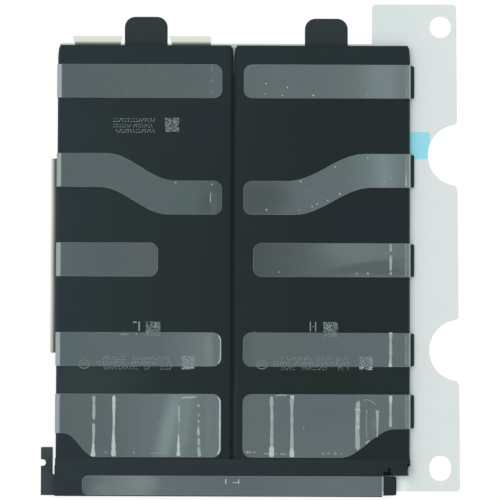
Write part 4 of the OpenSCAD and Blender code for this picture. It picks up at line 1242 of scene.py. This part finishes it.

# %% [markdown]
# ## Specks
# Single specks are placed one by one. Along the right wide strip's lower edge they come in clusters,
# which the tree scatters round one point each, with a fixed seed.

# %% Specks
# Each speck: right, down, radius.
SPECKS = {
    "left_cell": [(39.6, 46.2, 0.3), (51.7, 46.8, 0.32), (26.8, 96.8, 0.26), (16.9, 136.0, 0.28),
                  (26.2, 136.1, 0.3)],
    "right_cell": [(10.6, 13.0, 0.3), (17.7, 14.3, 0.34), (10.2, 16.4, 0.26), (16.1, 16.9, 0.3),
                   (26.4, 16.9, 0.42), (44.3, 16.7, 0.3), (44.6, 37.8, 0.36), (33.7, 40.8, 0.36),
                   (22.2, 45.8, 0.36), (35.3, 49.9, 0.42), (31.3, 52.0, 0.32), (27.8, 53.3, 0.3),
                   (26.1, 54.1, 0.4), (10.9, 55.2, 0.46), (21.8, 55.3, 0.28), (52.5, 44.5, 0.3),
                   (15.1, 76.0, 0.28), (41.0, 76.4, 0.32), (44.7, 76.4, 0.38), (23.4, 127.9, 0.26),
                   (6.9, 95.9, 0.26)],
}
# Clusters along the right wide strip's lower edge: right, down, half length, number.
CLUSTERS = [(5.6, 135.9, 1.9, 16), (12.6, 136.2, 2.2, 8), (16.6, 136.2, 1.1, 8), (30.8, 136.2, 1.4, 7),
            (34.4, 136.2, 1.6, 8)]
CLUSTER_RADIUS = 0.26
CLUSTER_DEPTH = 0.3


def loose_points(cell, table):
    """A loose point on the strips for each row of a table that starts with right and down."""
    return [line_mesh([(*on_cell(cell, right, down).to_2d(), STRIP_TOP)]) for right, down, *_ in table]


for cell, table in SPECKS.items():
    runs = [{"Radius": radius * MM, "Seed": i} for i, (_, _, radius) in enumerate(table)]
    grow(cell + "_specks", speck_tree, runs, BRIGHT, loose_points(cell, table))

runs = [{"Radius": CLUSTER_RADIUS * MM, "Copies": number, "Seed": 20 + i,
         "Spread": (half_length * MM, CLUSTER_DEPTH * MM, 0)}
        for i, (_, _, half_length, number) in enumerate(CLUSTERS)]
grow("right_cell_speck_clusters", speck_tree, runs, AIR,
     loose_points("right_cell", CLUSTERS))

# %% [markdown]
# ## Floor and light
# The floor is plain. For the camera it is bright enough to read as white while it still takes the
# pack's shadow, and for the light that it sends back to the pack it is an ordinary pale floor.
# The light is soft: an even world, a large lamp up and to the left, and a weaker one at the right.

# %% Floor
# Half the floor's side, and how far the floor lies below the liner, both in metres.
FLOOR_HALF = 3.0
FLOOR_DROP = 0.02 * MM

floor_mesh = bpy.data.meshes.new("floor")
corners = [(x * FLOOR_HALF, y * FLOOR_HALF, -FLOOR_DROP) for x, y in ((-1, -1), (1, -1), (1, 1), (-1, 1))]
floor_mesh.from_pydata(corners, [], [(0, 1, 2, 3)])
floor = bpy.data.objects.new("floor", floor_mesh)
bpy.context.scene.collection.objects.link(floor)
floor_material = bpy.data.materials.new("floor_paint")
floor_material.use_nodes = True
tree = floor_material.node_tree
tree.nodes.clear()


def seen_or_mirrored(tree):
    """One for rays of the camera, and for what it sees in a mirror or through glass."""
    ray = add(tree, "ShaderNodeLightPath").outputs
    return calc(tree, "MAXIMUM", ray["Is Camera Ray"],
                calc(tree, "MAXIMUM", ray["Is Glossy Ray"], ray["Is Transmission Ray"]))


shadow_part = add(tree, "ShaderNodeBsdfDiffuse", None, {"Color": (0.25, 0.25, 0.25, 1)})
glow = add(tree, "ShaderNodeEmission", None, {"Color": (1, 1, 1, 1), "Strength": 0.8})
bright = add(tree, "ShaderNodeAddShader", None, {0: shadow_part.outputs[0], 1: glow.outputs[0]})
plain = add(tree, "ShaderNodeBsdfDiffuse", None, {"Color": (0.8, 0.8, 0.8, 1)})
both = add(tree, "ShaderNodeMixShader", None, {
    0: seen_or_mirrored(tree), 1: plain.outputs[0], 2: bright.outputs[0]})
add(tree, "ShaderNodeOutputMaterial", None, {"Surface": both.outputs[0]})
floor_mesh.materials.append(floor_material)
print("floor at", floor_mesh.vertices[0].co.z / MM, "mm")

# %% Light
world = bpy.data.worlds.new("studio")
bpy.context.scene.world = world
world.use_nodes = True
tree = world.node_tree
tree.nodes.clear()
even = add(tree, "ShaderNodeBackground", None, {"Color": (1, 1, 1, 1), "Strength": 0.70})
white = add(tree, "ShaderNodeBackground", None, {"Color": (1, 1, 1, 1), "Strength": 1.0})
sky = add(tree, "ShaderNodeMixShader", None, {
    0: seen_or_mirrored(tree), 1: even.outputs[0], 2: white.outputs[0]})
add(tree, "ShaderNodeOutputWorld", None, {"Surface": sky.outputs[0]})


def soft_lamp(name, place, width, watts):
    """A large square lamp that faces the middle of the pack."""
    lamp = bpy.data.lights.new(name, "AREA")
    lamp.size = width
    lamp.energy = watts
    holder = bpy.data.objects.new(name, lamp)
    holder.location = place
    holder.rotation_euler = (-Vector(place)).to_track_quat("-Z", "Y").to_euler()
    bpy.context.scene.collection.objects.link(holder)


soft_lamp("key", (-0.55, 0.35, 0.95), 0.9, 3.6)
soft_lamp("fill", (0.7, -0.2, 0.9), 0.8, 1.5)

# %% [markdown]
# ## Camera
# The photograph was taken from above with a long lens, two degrees from straight down. The distance
# and the angles come from matching the pack's outline, and the lens from a view of 500 by 500.

# %% Camera
# The eye's distance and the point that it looks at are in millimetres on the pack.
EYE_DISTANCE = 680.0
FOCAL_PX = 2040.0
IMAGE_PX = 500
SENSOR = 36.0
TILT = math.radians(2.055)
ROLL = math.radians(0.193)
AIM = Vector((-0.45, -0.45, 3.0))

lens = bpy.data.cameras.new("camera")
lens.sensor_width = SENSOR
lens.lens = SENSOR * FOCAL_PX / IMAGE_PX
lens.clip_start = 0.01
lens.clip_end = 20
camera = bpy.data.objects.new("camera", lens)
bpy.context.scene.collection.objects.link(camera)
eye = AIM + EYE_DISTANCE * Vector((0, -math.sin(TILT), math.cos(TILT)))
turned = Matrix.Rotation(TILT, 4, "X") @ Matrix.Rotation(ROLL, 4, "Z")
camera.matrix_world = Matrix.Translation(eye * MM) @ turned
bpy.context.scene.camera = camera
bpy.context.scene.view_settings.view_transform = "Standard"
print("lens", round(lens.lens, 2), "mm")
